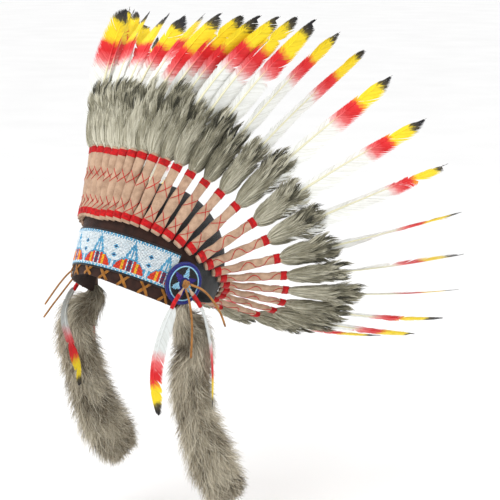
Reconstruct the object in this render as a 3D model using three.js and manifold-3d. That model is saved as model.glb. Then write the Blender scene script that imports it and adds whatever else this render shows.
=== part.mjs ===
// A feathered headdress: a felt cap with a leather brow band, a beaded band over it, a beaded rosette
// at each temple, a row of dyed feathers in felt sheaths sewn round the cap, and fur tails, small
// feathers and suede thongs that hang from the rosettes.
//
// Millimetres, +Z up as the headdress is worn, -Y is the wearer's front and +X the wearer's left.
// The origin is the centre of the head opening. The cap leans back round X by TILT, so everything
// sewn to its wall is placed by three numbers: an angle round the cap from the front (positive to
// the wearer's left), a rise along the cap's own axis, and a distance out from the inside of the cap.

import * as THREE from 'three';
import { mergeVertices } from 'three/addons/utils/BufferGeometryUtils.js';
import Module from 'manifold-3d';

const wasm = await Module();
wasm.setup();

const { degToRad, lerp, clamp } = THREE.MathUtils;

// Clearance between two pieces that touch.
const FIT = 0.3;

// The cap: half width and half length of the head opening, wall, rise of the crown, drop to the rim.
const HEAD_WIDE = 77;
const HEAD_LONG = 97;
const CAP_WALL = 2;
const CAP_RISE = 92;
const CAP_DROP = 25;
const TILT = degToRad(27);
const FLARE = degToRad(6);
const CAP_SEGMENTS = 36;
const CROWN_STEPS = 5;

// The leather brow band and the beaded band sewn over it. Angles are where each one ends.
const BROW_WALL = 2.5;
const BROW_TOP = 24;
const BROW_BOTTOM = 52;
const BROW_DIP = 5;
const BROW_END = 85;
const BEAD_WALL = 2.2;
const BEAD_TOP = 2.5;
const BEAD_BOTTOM = 41;
const BEAD_END = 70;
const BAND_STEP = 5;

// The rosettes, the hide tab of a tail behind each one and the knot on its face.
const ROSETTE_AT = 78;
const ROSETTE_DROP = 27;
const ROSETTE_RADIUS = 26;
const ROSETTE_WALL = 4;
const ROSETTE_SIDES = 20;
const TAB_WALL = 3;
const TAB_WIDE = 16;
const TAB_TOP = 14;
const TAB_FOOT = 62;
const TAB_SWING = 12;
const KNOT_RADIUS = 6;
const KNOT_HIGH = 6.4;

// The row of feathers, counted each way from the middle of the brow.
const FEATHERS_EACH_SIDE = 18;
const ROW_END = 163;
const BROW_PITCH = 5;
const FEATHER_LONG = 340;
const SHEATH_LONG = 88;
const SHEATH_WIDE = 13.5;
const SHEATH_THICK = 6.5;
const VANE_WIDE = 28;
const VANE_THICK = 1.5;
const VANE_LAP = 8;
const FLUFF_LONG = 98;
const FLUFF_WIDE = 36;
const FLUFF_THICK = 18;
const FLUFF_INSET = 8;
const LAP_SLOPE = 0.5;

// The hanging pieces.
const TAIL_LONG = 250;
const TAIL_WIDE = 54;
const TAIL_THICK = 38;
const TAIL_LOCKS = 12;
const LOCK_LONG = 34;
const PENDANT_LONG = 166;
const PENDANT_WIDE = 15;
const PENDANT_SHEATH = 5.5;
const THONG_ROUND = 2.8;
const THONG_STEP = 8.4;

// Distances out from the inside of the cap.
const CAP_OUT = CAP_WALL;
const BROW_OUT = CAP_OUT + FIT + BROW_WALL;
const BEAD_OUT = BROW_OUT + FIT + BEAD_WALL;
const TAB_OUT = BROW_OUT + FIT + TAB_WALL;
const ROSETTE_BACK = Math.max(TAB_OUT, BEAD_OUT) + FIT;
const ROSETTE_OUT = ROSETTE_BACK + ROSETTE_WALL;

// How the feathers stand, one row for each place along the brow and round the back.
// at: degrees from the front. seat: rise of the sheath's lower end, as a share of CAP_RISE.
// lean and splay: direction of the sheath, degrees back from upright and degrees to the side.
// tipLean and tipSplay: the same for the tip. long: length, as a share of FEATHER_LONG.
const ROW = [
  { at: 0, seat: 0.15, lean: 21, splay: 0, tipLean: 57, tipSplay: 0, long: 0.86 },
  { at: 20, seat: 0.185, lean: 21, splay: 11, tipLean: 53, tipSplay: 20, long: 0.885 },
  { at: 45, seat: 0.165, lean: 33, splay: 11, tipLean: 45, tipSplay: 25, long: 0.955 },
  { at: 70, seat: 0.105, lean: 50, splay: 13, tipLean: 48, tipSplay: 28, long: 1 },
  { at: 90, seat: 0.035, lean: 66, splay: 25, tipLean: 65, tipSplay: 33, long: 0.99 },
  { at: 115, seat: -0.02, lean: 90, splay: 37, tipLean: 82, tipSplay: 30, long: 0.94 },
  { at: 140, seat: -0.09, lean: 109, splay: 31, tipLean: 95, tipSplay: 25, long: 0.905 },
  { at: 163, seat: -0.19, lean: 113, splay: 7, tipLean: 98, tipSplay: 20, long: 0.88 },
];

// The vane's outline. at: share of the way from its root to the tip. wide: share of VANE_WIDE.
const VANE_OUTLINE = [
  { at: 0, wide: 0.14 },
  { at: 0.42, wide: 0.98 },
  { at: 0.78, wide: 0.9 },
  { at: 0.94, wide: 0.5 },
];

// The locks of the fluff. side: drift to the side, as a share of FLUFF_WIDE. wide: share of
// FLUFF_WIDE. thick: share of the room there is. long: share of FLUFF_LONG.
const FLUFF_LOCKS = [
  { side: -0.28, wide: 0.56, thick: 0.7, long: 0.86 },
  { side: 0, wide: 0.66, thick: 1, long: 1 },
  { side: 0.28, wide: 0.56, thick: 0.7, long: 0.8 },
];

// One lock along its length. at: share of its length. wide and thick: shares of the lock's own.
const LOCK_OUTLINE = [
  { at: 0, wide: 0.42, thick: 0.5 },
  { at: 0.42, wide: 1, thick: 1 },
];

// The tails' routes below the rosettes, in shares of TAIL_LONG from the foot of the hide tab.
const TAIL_ROUTES = {
  left: [
    { out: 0, back: 0, down: 0 },
    { out: 0.01, back: 0.07, down: 0.13 },
    { out: 0.01, back: 0.04, down: 0.34 },
    { out: 0.01, back: 0.09, down: 0.54 },
    { out: 0.02, back: 0.17, down: 0.74 },
    { out: 0.03, back: 0.3, down: 0.97 },
  ],
  right: [
    { out: 0, back: 0, down: 0 },
    { out: 0.05, back: -0.08, down: 0.11 },
    { out: 0.04, back: -0.05, down: 0.33 },
    { out: 0.03, back: 0.03, down: 0.58 },
    { out: 0.02, back: 0.12, down: 0.74 },
    { out: 0, back: 0.2, down: 0.84 },
  ],
};

// A tail along its length. at: share of its length. size: share of TAIL_WIDE and TAIL_THICK.
const TAIL_OUTLINE = [
  { at: 0, size: 0.36 },
  { at: 0.08, size: 0.76 },
  { at: 0.3, size: 0.9 },
  { at: 0.55, size: 0.86 },
  { at: 0.78, size: 0.82 },
  { at: 0.93, size: 0.7 },
  { at: 1, size: 0.34 },
];

// A small hanging feather. at: share of its length. wide: share of PENDANT_WIDE. The sheath is first.
const PENDANT_SHEATH_ENDS = { neck: 0.02, full: 0.06, end: 0.14 };
const PENDANT_OUTLINE = [
  { at: 0.2, wide: 0.3 },
  { at: 0.38, wide: 0.8 },
  { at: 0.66, wide: 1 },
  { at: 0.9, wide: 0.7 },
];

// Routes of the hanging pieces in millimetres from the middle of their knot: out, back, up.
const PENDANT_ROUTES = {
  pendant_feather_1: {
    side: 1,
    points: [[0.5, -4.6, -4], [2, -24, -21], [0, -47, -66], [-4, -52, -108], [-6, -42, -160]],
  },
  pendant_feather_2: {
    side: 1,
    points: [[1.1, 3, -5], [8, 19, -34], [16, 25, -80], [17, 27, -117], [16, 27, -157]],
  },
  pendant_feather_3: {
    side: -1,
    points: [[0.6, 0.8, -6.1], [5, -7, -22], [2, -26, -40], [-8, -42, -60], [-22, -45, -88],
      [-28, -39, -118], [-28, -37, -148]],
  },
  pendant_feather_4: {
    side: -1,
    points: [[1.1, 4.2, -4.2], [8, 20, -34], [14, 26, -80], [16, 28, -117], [15, 27, -157]],
  },
};
const THONG_ROUTES = {
  thong_end_1: {
    side: 1,
    points: [[0.4, -1.1, -6.2], [4, 1, -20], [7, 2, -42], [9, 0, -65], [10, -3, -88]],
  },
  thong_end_2: {
    side: 1,
    points: [[1.8, 5.7, -1.1], [7, 22, -10], [11, 36, -26], [13, 46, -42], [13, 54, -59]],
  },
  thong_end_3: {
    side: -1,
    points: [[1.4, -5.7, 0], [9, -17, -8], [16, -26, -20], [22, -35, -34], [28, -43, -48]],
  },
  thong_end_4: {
    side: -1,
    points: [[0.9, -4.5, -3.8], [7, -16, -18], [13, -27, -33], [19, -38, -48], [24, -49, -63]],
  },
};

const FINISHES = {
  felt: { color: 0x1d1b1e, roughness: 0.95 },
  leather: { color: 0x33231d, roughness: 0.7 },
  beads: { color: 0xd7e6ee, roughness: 0.25 },
  rosette: { color: 0x1c2fa8, roughness: 0.3 },
  feather: { color: 0xf3efe6, roughness: 0.8 },
  fur: { color: 0x8a8172, roughness: 1 },
  suede: { color: 0xa9713a, roughness: 0.9 },
};

// A point between the rows of a table, smooth through every row.
function blend(table, key, at) {
  const last = table.length - 1;
  const place = clamp(table.findIndex((row) => row.at >= at), 1, last);
  const next = at >= table[last].at ? last : place;
  const rows = [next - 2, next - 1, next, next + 1].map((i) => table[clamp(i, 0, last)]);
  const t = clamp((at - rows[1].at) / (rows[2].at - rows[1].at), 0, 1);
  const slope = (a, b) => (b.at === a.at ? 0 : (b[key] - a[key]) / (b.at - a.at));
  const span = rows[2].at - rows[1].at;
  const enter = slope(rows[0], rows[2]) * span;
  const leave = slope(rows[1], rows[3]) * span;
  const t2 = t * t;
  const t3 = t2 * t;
  const ends = rows[1][key] * (2 * t3 - 3 * t2 + 1) + rows[2][key] * (3 * t2 - 2 * t3);
  return ends + enter * (t3 - 2 * t2 + t) + leave * (t3 - t2);
}

// A point of the cap's wall in the cap's own frame.
function wall(degrees, rise, out) {
  const angle = degToRad(degrees);
  const spread = out + rise * Math.tan(FLARE);
  const x = (HEAD_WIDE + spread) * Math.sin(angle);
  const y = -(HEAD_LONG + spread) * Math.cos(angle);
  return new THREE.Vector3(x, y, rise);
}

// Outward normal of the wall in the cap's own frame.
function wallNormal(degrees, rise, out) {
  const small = 0.5;
  const round = wall(degrees + small, rise, out).sub(wall(degrees - small, rise, out));
  const up = wall(degrees, rise + small, out).sub(wall(degrees, rise - small, out));
  return round.cross(up).normalize();
}

// From the cap's frame to the frame of the whole headdress.
function worn(vector) {
  return vector.clone().applyAxisAngle(new THREE.Vector3(1, 0, 0), -TILT);
}

// How far a point of the whole headdress lies outside the brow band, or outside the cap itself.
function distanceOut(point, overBand) {
  const inCap = point.clone().applyAxisAngle(new THREE.Vector3(1, 0, 0), TILT);
  const onCrown = !overBand && inCap.z > 0;
  const spread = overBand ? BROW_OUT : CAP_OUT;
  const flared = onCrown ? spread : spread + inCap.z * Math.tan(FLARE);
  const rounding = onCrown ? Math.sqrt(1 - (inCap.z / CAP_RISE) ** 2) : 1;
  const wide = (HEAD_WIDE + flared) * rounding;
  const long = (HEAD_LONG + flared) * rounding;
  return Math.hypot(inCap.x, inCap.y) * (1 - 1 / Math.hypot(inCap.x / wide, inCap.y / long));
}

// A direction given by degrees back from upright and degrees to the side.
function pointing(lean, splay) {
  const back = degToRad(lean);
  const aside = degToRad(splay);
  return new THREE.Vector3(
    Math.sin(aside),
    Math.cos(aside) * Math.sin(back),
    Math.cos(aside) * Math.cos(back),
  );
}

// A closed geometry through rings of points. A ring of one point is a tip.
function loft(rings) {
  const starts = [];
  const points = [];
  for (const ring of rings) {
    starts.push(points.length);
    points.push(...ring);
  }
  const faces = [];
  for (let i = 0; i + 1 < rings.length; i += 1) {
    const sides = Math.max(rings[i].length, rings[i + 1].length);
    for (let j = 0; j < sides; j += 1) {
      const a = starts[i] + (j % rings[i].length);
      const b = starts[i] + ((j + 1) % rings[i].length);
      const c = starts[i + 1] + (j % rings[i + 1].length);
      const d = starts[i + 1] + ((j + 1) % rings[i + 1].length);
      if (a !== b) faces.push([a, b, c]);
      if (c !== d) faces.push([b, d, c]);
    }
  }
  const last = rings.length - 1;
  for (let j = 1; j + 1 < rings[0].length; j += 1) {
    faces.push([starts[0], starts[0] + j + 1, starts[0] + j]);
  }
  for (let j = 1; j + 1 < rings[last].length; j += 1) {
    faces.push([starts[last], starts[last] + j, starts[last] + j + 1]);
  }
  const geometry = new THREE.BufferGeometry().setFromPoints(points);
  const volume = faces.reduce((sum, [a, b, c]) => (
    sum + points[a].dot(points[b].clone().cross(points[c]))), 0);
  const turned = volume < 0 ? faces.map(([a, b, c]) => [a, c, b]) : faces;
  geometry.setIndex(turned.flat());
  return geometry;
}

// A geometry as a solid that can be joined.
function solidOf(geometry) {
  const bare = geometry.clone();
  bare.deleteAttribute('normal');
  bare.deleteAttribute('uv');
  const merged = mergeVertices(bare, 1e-4);
  return new wasm.Manifold(new wasm.Mesh({
    numProp: 3,
    vertProperties: new Float32Array(merged.attributes.position.array),
    triVerts: new Uint32Array(merged.index.array),
  }));
}

// Several closed geometries joined into one. The small hollows that overlapping locks close off
// between them are filled, so only the outer skin is kept.
function fuse(geometries) {
  const [first, ...others] = geometries.map(solidOf);
  const joined = others.reduce((sum, solid) => sum.add(solid), first);
  const skins = joined.decompose();
  const outer = skins.reduce((best, skin) => (skin.volume() > best.volume() ? skin : best));
  const { vertProperties, triVerts } = outer.getMesh();
  const geometry = new THREE.BufferGeometry();
  geometry.setAttribute('position', new THREE.BufferAttribute(vertProperties, 3));
  geometry.setIndex(new THREE.BufferAttribute(triVerts, 1));
  return geometry;
}

function piece(name, geometry, finish) {
  geometry.computeVertexNormals();
  const material = new THREE.MeshStandardMaterial({ metalness: 0, ...FINISHES[finish] });
  material.flatShading = true;
  const mesh = new THREE.Mesh(geometry, material);
  mesh.name = name;
  return mesh;
}

// The felt cap: a low wall that flares upwards, closed by a rounded crown and open below.
function feltCap() {
  const rim = (out) => new THREE.Vector2(HEAD_WIDE + out - CAP_DROP * Math.tan(FLARE), -CAP_DROP);
  const crown = (out) => Array.from({ length: CROWN_STEPS + 1 }, (_, i) => {
    const angle = (i / CROWN_STEPS) * (Math.PI / 2);
    const reach = i === CROWN_STEPS ? 0 : (HEAD_WIDE + out) * Math.cos(angle);
    return new THREE.Vector2(reach, (CAP_RISE - CAP_WALL + out) * Math.sin(angle));
  });
  const profile = [...crown(0).reverse(), rim(0), rim(CAP_OUT), ...crown(CAP_OUT)];
  const geometry = new THREE.LatheGeometry(profile, CAP_SEGMENTS);
  geometry.rotateX(Math.PI / 2);
  const points = geometry.attributes.position;
  for (let i = 0; i < points.count; i += 1) {
    const reach = Math.hypot(points.getX(i), points.getY(i));
    const crownward = reach * ((HEAD_LONG - HEAD_WIDE) / (HEAD_WIDE + CAP_OUT));
    const longer = points.getZ(i) < -FIT ? HEAD_LONG - HEAD_WIDE : crownward;
    if (reach > 0) points.setY(i, points.getY(i) * (1 + longer / reach));
  }
  return orientOut(geometry);
}

// The same geometry with its faces turned outwards.
function orientOut(geometry) {
  const bare = geometry.clone();
  bare.deleteAttribute('normal');
  bare.deleteAttribute('uv');
  const merged = mergeVertices(bare, 1e-4);
  const index = Array.from(merged.index.array);
  const at = (i) => new THREE.Vector3().fromBufferAttribute(merged.attributes.position, i);
  let volume = 0;
  const kept = [];
  for (let i = 0; i < index.length; i += 3) {
    const [a, b, c] = index.slice(i, i + 3);
    if (a !== b && b !== c && c !== a) {
      kept.push([a, b, c]);
      volume += at(a).dot(at(b).cross(at(c)));
    }
  }
  merged.setIndex(kept.flatMap(([a, b, c]) => (volume < 0 ? [a, c, b] : [a, b, c])));
  return merged;
}

// A strip sewn round the cap's wall from one end angle to the other.
function band(end, inside, outside, bottomAt, topAt) {
  const rings = [];
  for (let at = -end; at <= end + 1e-6; at += BAND_STEP) {
    const low = bottomAt(at);
    const high = topAt(at);
    rings.push([
      wall(at, low, inside),
      wall(at, low, outside),
      wall(at, high, outside),
      wall(at, high, inside),
    ]);
  }
  return loft(rings);
}

// The brow band's lower edge dips from the middle of the brow towards the temples.
function browBand() {
  const bottom = (at) => -BROW_BOTTOM - BROW_DIP * Math.sin(Math.min(1, Math.abs(at) / 60) * Math.PI / 2);
  const top = (at) => lerp(BROW_TOP, 0.3 * BROW_TOP, clamp((Math.abs(at) - 45) / 40, 0, 1));
  return band(BROW_END, CAP_OUT + FIT, BROW_OUT, bottom, top);
}

function beadBand() {
  return band(BEAD_END, BROW_OUT + FIT, BEAD_OUT, () => -BEAD_BOTTOM, () => BEAD_TOP);
}

// Turns a mesh built along its own +Z so that it points out of the wall at the rosette.
function seatAtTemple(mesh, side, out) {
  const at = side * ROSETTE_AT;
  mesh.position.copy(wall(at, -ROSETTE_DROP, ROSETTE_BACK));
  const normal = wallNormal(at, -ROSETTE_DROP, ROSETTE_BACK);
  mesh.position.addScaledVector(normal, out - ROSETTE_BACK);
  mesh.quaternion.setFromUnitVectors(new THREE.Vector3(0, 0, 1), normal);
  return mesh;
}

// A beaded disc with a rounded rim.
function rosette() {
  const profile = [
    [0, 0],
    [ROSETTE_RADIUS - 1, 0],
    [ROSETTE_RADIUS, 0.3 * ROSETTE_WALL],
    [ROSETTE_RADIUS, 0.7 * ROSETTE_WALL],
    [ROSETTE_RADIUS - 1.5, ROSETTE_WALL],
    [0, ROSETTE_WALL],
  ].map(([x, y]) => new THREE.Vector2(x, y));
  const geometry = new THREE.LatheGeometry(profile, ROSETTE_SIDES);
  geometry.rotateX(Math.PI / 2);
  return orientOut(geometry);
}

function knot() {
  const geometry = new THREE.SphereGeometry(KNOT_RADIUS, 10, 5);
  geometry.rotateX(Math.PI / 2);
  geometry.scale(1, 1, KNOT_HIGH / (2 * KNOT_RADIUS));
  return orientOut(geometry);
}

// Middle of a knot in the frame of the whole headdress.
function knotCentre(side) {
  const at = side * ROSETTE_AT;
  const normal = wallNormal(at, -ROSETTE_DROP, ROSETTE_BACK);
  const reach = ROSETTE_WALL + FIT + KNOT_HIGH / 2;
  return worn(wall(at, -ROSETTE_DROP, ROSETTE_BACK).addScaledVector(normal, reach));
}

// Where the feather stands: degrees from the front, negative on the wearer's right.
// The feathers are set closest at the middle of the brow.
function placeOf(number) {
  const count = Math.abs(number);
  const widening = (ROW_END - FEATHERS_EACH_SIDE * BROW_PITCH) / FEATHERS_EACH_SIDE ** 2;
  return Math.sign(number) * (count * BROW_PITCH + count * count * widening);
}

// The shaft of one feather: straight in its sheath, then bent towards the tip.
function shaftOf(degrees) {
  const side = degrees < 0 ? -1 : 1;
  const at = Math.abs(degrees);
  const along = pointing(blend(ROW, 'lean', at), side * blend(ROW, 'splay', at));
  const tipwards = pointing(blend(ROW, 'tipLean', at), side * blend(ROW, 'tipSplay', at));
  const rise = blend(ROW, 'seat', at) * CAP_RISE;
  const overBand = at < BROW_END;
  const out = overBand ? BROW_OUT : CAP_OUT;
  const normal = worn(wallNormal(degrees, rise, out));
  const seat = worn(wall(degrees, rise, out));
  const length = blend(ROW, 'long', at) * FEATHER_LONG;
  const bend = (length - SHEATH_LONG) / 2;
  return { along, tipwards, normal, seat, overBand, length, bend, lift: 0 };
}

// A point of a shaft at a distance from its lower end.
function shaftPoint(shaft, distance) {
  const foot = shaft.seat.clone().addScaledVector(shaft.normal, shaft.lift);
  if (distance <= SHEATH_LONG) {
    return foot.addScaledVector(shaft.along, distance);
  }
  const t = (distance - SHEATH_LONG) / (shaft.length - SHEATH_LONG);
  foot.addScaledVector(shaft.along, SHEATH_LONG + shaft.bend * (2 * t - t * t));
  return foot.addScaledVector(shaft.tipwards, shaft.bend * t * t);
}

// Direction of a shaft at a distance from its lower end.
function shaftDirection(shaft, distance) {
  const t = clamp((distance - SHEATH_LONG) / (shaft.length - SHEATH_LONG), 0, 1);
  return shaft.along.clone().lerp(shaft.tipwards, t).normalize();
}

// The frame of one feather at a distance along it. pitch is the distance to its neighbours there,
// across runs towards the neighbour nearer the back, and face is square to both.
function shaftFrame(shafts, number, distance) {
  const shaft = shafts.get(number);
  const share = distance / shaft.length;
  const before = shafts.get(number - 1) ?? shaft;
  const after = shafts.get(number + 1) ?? shaft;
  const tangent = shaftDirection(shaft, distance);
  const across = shaftPoint(after, share * after.length).sub(shaftPoint(before, share * before.length));
  across.addScaledVector(tangent, -across.dot(tangent));
  const pitch = across.length() / (before === shaft || after === shaft ? 1 : 2);
  across.normalize();
  const face = across.clone().cross(tangent).normalize();
  return { point: shaftPoint(shaft, distance), tangent, across, face, pitch };
}

// Feathers that are wider than their pitch lap like shingles. Each is turned about its shaft just
// far enough for its own thickness to clear the next one.
function lapped(frame, wide, thick, lap = 0) {
  const crowd = clamp((1.12 * wide - frame.pitch) / (0.2 * wide), 0, 1);
  const room = Math.max(0.6, LAP_SLOPE * frame.pitch - FIT);
  const deep = lerp(thick, Math.min(thick, room), crowd);
  const turn = crowd * Math.asin(clamp((Math.max(deep, lap) + FIT) / frame.pitch, 0, 0.7));
  const across = frame.across.clone().multiplyScalar(Math.cos(turn));
  across.addScaledVector(frame.face, -Math.sin(turn));
  const face = frame.across.clone().multiplyScalar(Math.sin(turn));
  face.addScaledVector(frame.face, Math.cos(turn));
  return { across, face, deep };
}

// A ring of a flat section. sides 4 is a lozenge and 6 has two flat faces.
function flatRing(point, across, face, wide, deep, sides) {
  const corners = sides === 4
    ? [[0.5, 0], [0, 0.5], [-0.5, 0], [0, -0.5]]
    : [[0.5, 0], [0.28, 0.5], [-0.28, 0.5], [-0.5, 0], [-0.28, -0.5], [0.28, -0.5]];
  return corners.map(([a, b]) => point.clone()
    .addScaledVector(across, a * wide)
    .addScaledVector(face, b * deep));
}

function sheathRings(shafts, number) {
  const ends = [[0, 0.86], [0.05, 1], [1, 0.85]];
  return ends.map(([share, size]) => {
    const frame = shaftFrame(shafts, number, share * SHEATH_LONG);
    const { across, face, deep } = lapped(frame, SHEATH_WIDE, SHEATH_THICK);
    return flatRing(frame.point, across, face, SHEATH_WIDE * size, deep * size, 6);
  });
}

function vaneRings(shafts, number) {
  const shaft = shafts.get(number);
  const rings = VANE_OUTLINE.map((row) => {
    const frame = shaftFrame(shafts, number, lerp(SHEATH_LONG - 4, shaft.length, row.at));
    const { across, face, deep } = lapped(frame, VANE_WIDE, VANE_THICK, VANE_LAP);
    return flatRing(frame.point, across, face, VANE_WIDE * row.wide, deep, 4);
  });
  return [...rings, [shaftPoint(shaft, shaft.length)]];
}

function fluffRings(shafts, number, lock) {
  const length = lock.long * FLUFF_LONG;
  const ringAt = (share) => {
    const frame = shaftFrame(shafts, number, SHEATH_LONG - FLUFF_INSET + share * length);
    const { across, face, deep } = lapped(frame, FLUFF_WIDE, FLUFF_THICK);
    const drift = lock.side * FLUFF_WIDE * Math.sin(Math.min(1, 1.6 * share) * Math.PI / 2);
    return { point: frame.point.addScaledVector(across, drift), across, face, deep };
  };
  const rings = LOCK_OUTLINE.map((row) => {
    const { point, across, face, deep } = ringAt(row.at);
    return flatRing(point, across, face, FLUFF_WIDE * lock.wide * row.wide, deep * lock.thick * row.thick, 4);
  });
  return [...rings, [ringAt(1).point]];
}

// All the shafts, each lifted so that the nearest corner of its sheath rests on the wall.
function shaftsOfRow() {
  const shafts = new Map();
  for (let number = -FEATHERS_EACH_SIDE; number <= FEATHERS_EACH_SIDE; number += 1) {
    shafts.set(number, shaftOf(placeOf(number)));
  }
  for (const [number, shaft] of shafts) {
    const corners = sheathRings(shafts, number).slice(0, 2).flat();
    const inmost = Math.min(...corners.map((corner) => distanceOut(corner, shaft.overBand)));
    shaft.nextLift = FIT - inmost;
  }
  for (const shaft of shafts.values()) {
    shaft.lift = shaft.nextLift;
  }
  return shafts;
}

// One feather: a felt sheath, a vane and the fluff at its root, fused.
function feather(shafts, number) {
  const parts = [loft(sheathRings(shafts, number)), loft(vaneRings(shafts, number))];
  for (const lock of FLUFF_LOCKS) {
    parts.push(loft(fluffRings(shafts, number, lock)));
  }
  return fuse(parts);
}

// A fur tail with its hide tab, which is sewn flat on the brow band behind the rosette.
function furTail(name, side) {
  const tabAt = (degrees, rise) => {
    const at = side * degrees;
    const normal = worn(wallNormal(at, rise, BROW_OUT));
    const point = worn(wall(at, rise, BROW_OUT)).addScaledVector(normal, FIT + TAB_WALL / 2);
    const across = normal.clone().cross(new THREE.Vector3(0, 0, 1)).normalize();
    return flatRing(point, across, normal, TAB_WIDE, TAB_WALL, 6);
  };
  const tab = [0, 0.4, 0.75, 1].map((share) => (
    tabAt(ROSETTE_AT + share * TAB_SWING, -lerp(TAB_TOP, TAB_FOOT, share))));
  const start = tab.at(-1).reduce((sum, corner) => sum.add(corner), new THREE.Vector3()).divideScalar(6);
  const routePoint = (row) => new THREE.Vector3(
    start.x + side * row.out * TAIL_LONG,
    start.y + row.back * TAIL_LONG,
    start.z - row.down * TAIL_LONG,
  );
  const route = new THREE.CatmullRomCurve3(TAIL_ROUTES[name].map(routePoint));
  const sectionAt = (share) => {
    const tangent = route.getTangentAt(share);
    const out = new THREE.Vector3(side, 0, 0);
    out.addScaledVector(tangent, -out.dot(tangent)).normalize();
    const size = blend(TAIL_OUTLINE, 'size', share);
    return { point: route.getPointAt(share), tangent, out, back: out.clone().cross(tangent), size };
  };
  const surface = (section, angle, reach) => section.point.clone()
    .addScaledVector(section.out, reach * section.size * (TAIL_THICK / 2) * Math.cos(angle))
    .addScaledVector(section.back, reach * section.size * (TAIL_WIDE / 2) * Math.sin(angle));
  const body = TAIL_OUTLINE.map((row) => {
    const section = sectionAt(row.at);
    return Array.from({ length: 8 }, (_, i) => surface(section, (i / 8) * 2 * Math.PI, 0.8));
  });
  const neck = sectionAt(TAIL_OUTLINE[1].at);
  const root = flatRing(neck.point, neck.back, neck.out, 0.9 * TAB_WIDE, TAB_WALL, 6);
  const parts = [loft(body), loft([...tab, root])];
  for (let i = 0; i < TAIL_LOCKS; i += 1) {
    const share = lerp(0.06, 0.86, i / (TAIL_LOCKS - 1));
    const angle = i * 2.4;
    const section = sectionAt(share);
    const tip = surface(section, angle, 1).addScaledVector(section.tangent, LOCK_LONG);
    const root3 = [-0.5, 0, 0.5].map((turn) => surface(section, angle + turn, turn === 0 ? 0.88 : 0.5));
    parts.push(loft([root3, [tip]]));
  }
  return fuse(parts);
}

// Points of a hanging piece in the frame of the whole headdress.
function hangingRoute({ side, points }) {
  const centre = knotCentre(side);
  return points.map(([out, back, up]) => new THREE.Vector3(
    centre.x + side * out,
    centre.y + back,
    centre.z + up,
  ));
}

// A small feather on a short felt sheath that hangs from a knot.
function pendantFeather(route) {
  const curve = new THREE.CatmullRomCurve3(hangingRoute(route));
  const reach = Math.min(1, PENDANT_LONG / curve.getLength());
  const ringAt = (share, wide, deep) => {
    const tangent = curve.getTangentAt(share * reach);
    const face = new THREE.Vector3(route.side, 0, 0);
    face.addScaledVector(tangent, -face.dot(tangent)).normalize();
    return flatRing(curve.getPointAt(share * reach), face.clone().cross(tangent), face, wide, deep, 4);
  };
  const { neck, full, end } = PENDANT_SHEATH_ENDS;
  const rings = [
    ringAt(0, 0.4 * PENDANT_SHEATH, 0.4 * PENDANT_SHEATH),
    ringAt(neck, 0.45 * PENDANT_SHEATH, 0.45 * PENDANT_SHEATH),
    ringAt(full, PENDANT_SHEATH, 0.8 * PENDANT_SHEATH),
    ringAt(end, PENDANT_SHEATH, 0.8 * PENDANT_SHEATH),
    ...PENDANT_OUTLINE.map((row) => ringAt(row.at, row.wide * PENDANT_WIDE, VANE_THICK)),
    [curve.getPointAt(reach)],
  ];
  return loft(rings);
}

// A suede thong with a free end.
function thong(route) {
  const curve = new THREE.CatmullRomCurve3(hangingRoute(route));
  const section = new THREE.Shape();
  const sides = 8;
  for (let i = 0; i < sides; i += 1) {
    const angle = (i / sides) * 2 * Math.PI;
    const x = (THONG_ROUND / 2) * Math.cos(angle);
    const y = (THONG_ROUND / 2) * Math.sin(angle);
    if (i === 0) section.moveTo(x, y);
    else section.lineTo(x, y);
  }
  section.closePath();
  const steps = Math.round(curve.getLength() / THONG_STEP);
  return orientOut(new THREE.ExtrudeGeometry(section, { steps, extrudePath: curve, curveSegments: 1 }));
}

// Cap, bands, rosettes and knots, all placed in the cap's own frame and leant back together.
function capGroup() {
  const group = new THREE.Group();
  group.rotation.x = -TILT;
  group.add(piece('felt_cap', feltCap(), 'felt'));
  group.add(piece('brow_band', browBand(), 'leather'));
  group.add(piece('bead_band', beadBand(), 'beads'));
  for (const [name, side] of [['left', 1], ['right', -1]]) {
    group.add(seatAtTemple(piece(`rosette_${name}`, rosette(), 'rosette'), side, ROSETTE_BACK));
    const tied = piece(`thong_knot_${name}`, knot(), 'suede');
    group.add(seatAtTemple(tied, side, ROSETTE_OUT + FIT + KNOT_HIGH / 2));
  }
  return group;
}

// The feathers, numbered from the wearer's right end of the row to the left end.
function featherGroup() {
  const group = new THREE.Group();
  const shafts = shaftsOfRow();
  for (const number of shafts.keys()) {
    const label = String(number + FEATHERS_EACH_SIDE + 1).padStart(2, '0');
    group.add(piece(`feather_${label}`, feather(shafts, number), 'feather'));
  }
  return group;
}

function hangingGroup() {
  const group = new THREE.Group();
  group.add(piece('fur_tail_left', furTail('left', 1), 'fur'));
  group.add(piece('fur_tail_right', furTail('right', -1), 'fur'));
  for (const [name, route] of Object.entries(PENDANT_ROUTES)) {
    group.add(piece(name, pendantFeather(route), 'feather'));
  }
  for (const [name, route] of Object.entries(THONG_ROUTES)) {
    group.add(piece(name, thong(route), 'suede'));
  }
  return group;
}

const headdress = new THREE.Group();
headdress.add(capGroup(), featherGroup(), hangingGroup());

export default headdress;
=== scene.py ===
"""Dresses the feathered headdress in its finished leather, beads, felt, feathers, fur and suede.

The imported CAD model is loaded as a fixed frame. Every piece below is modelled in millimetres in
that frame, is made a mesh in metres, rides on the frame's one body and stands for its CAD solids.
"""

import logging
import math
from collections.abc import Callable, Iterator
from contextlib import contextmanager
from dataclasses import dataclass, field
from enum import Enum, IntEnum

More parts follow.
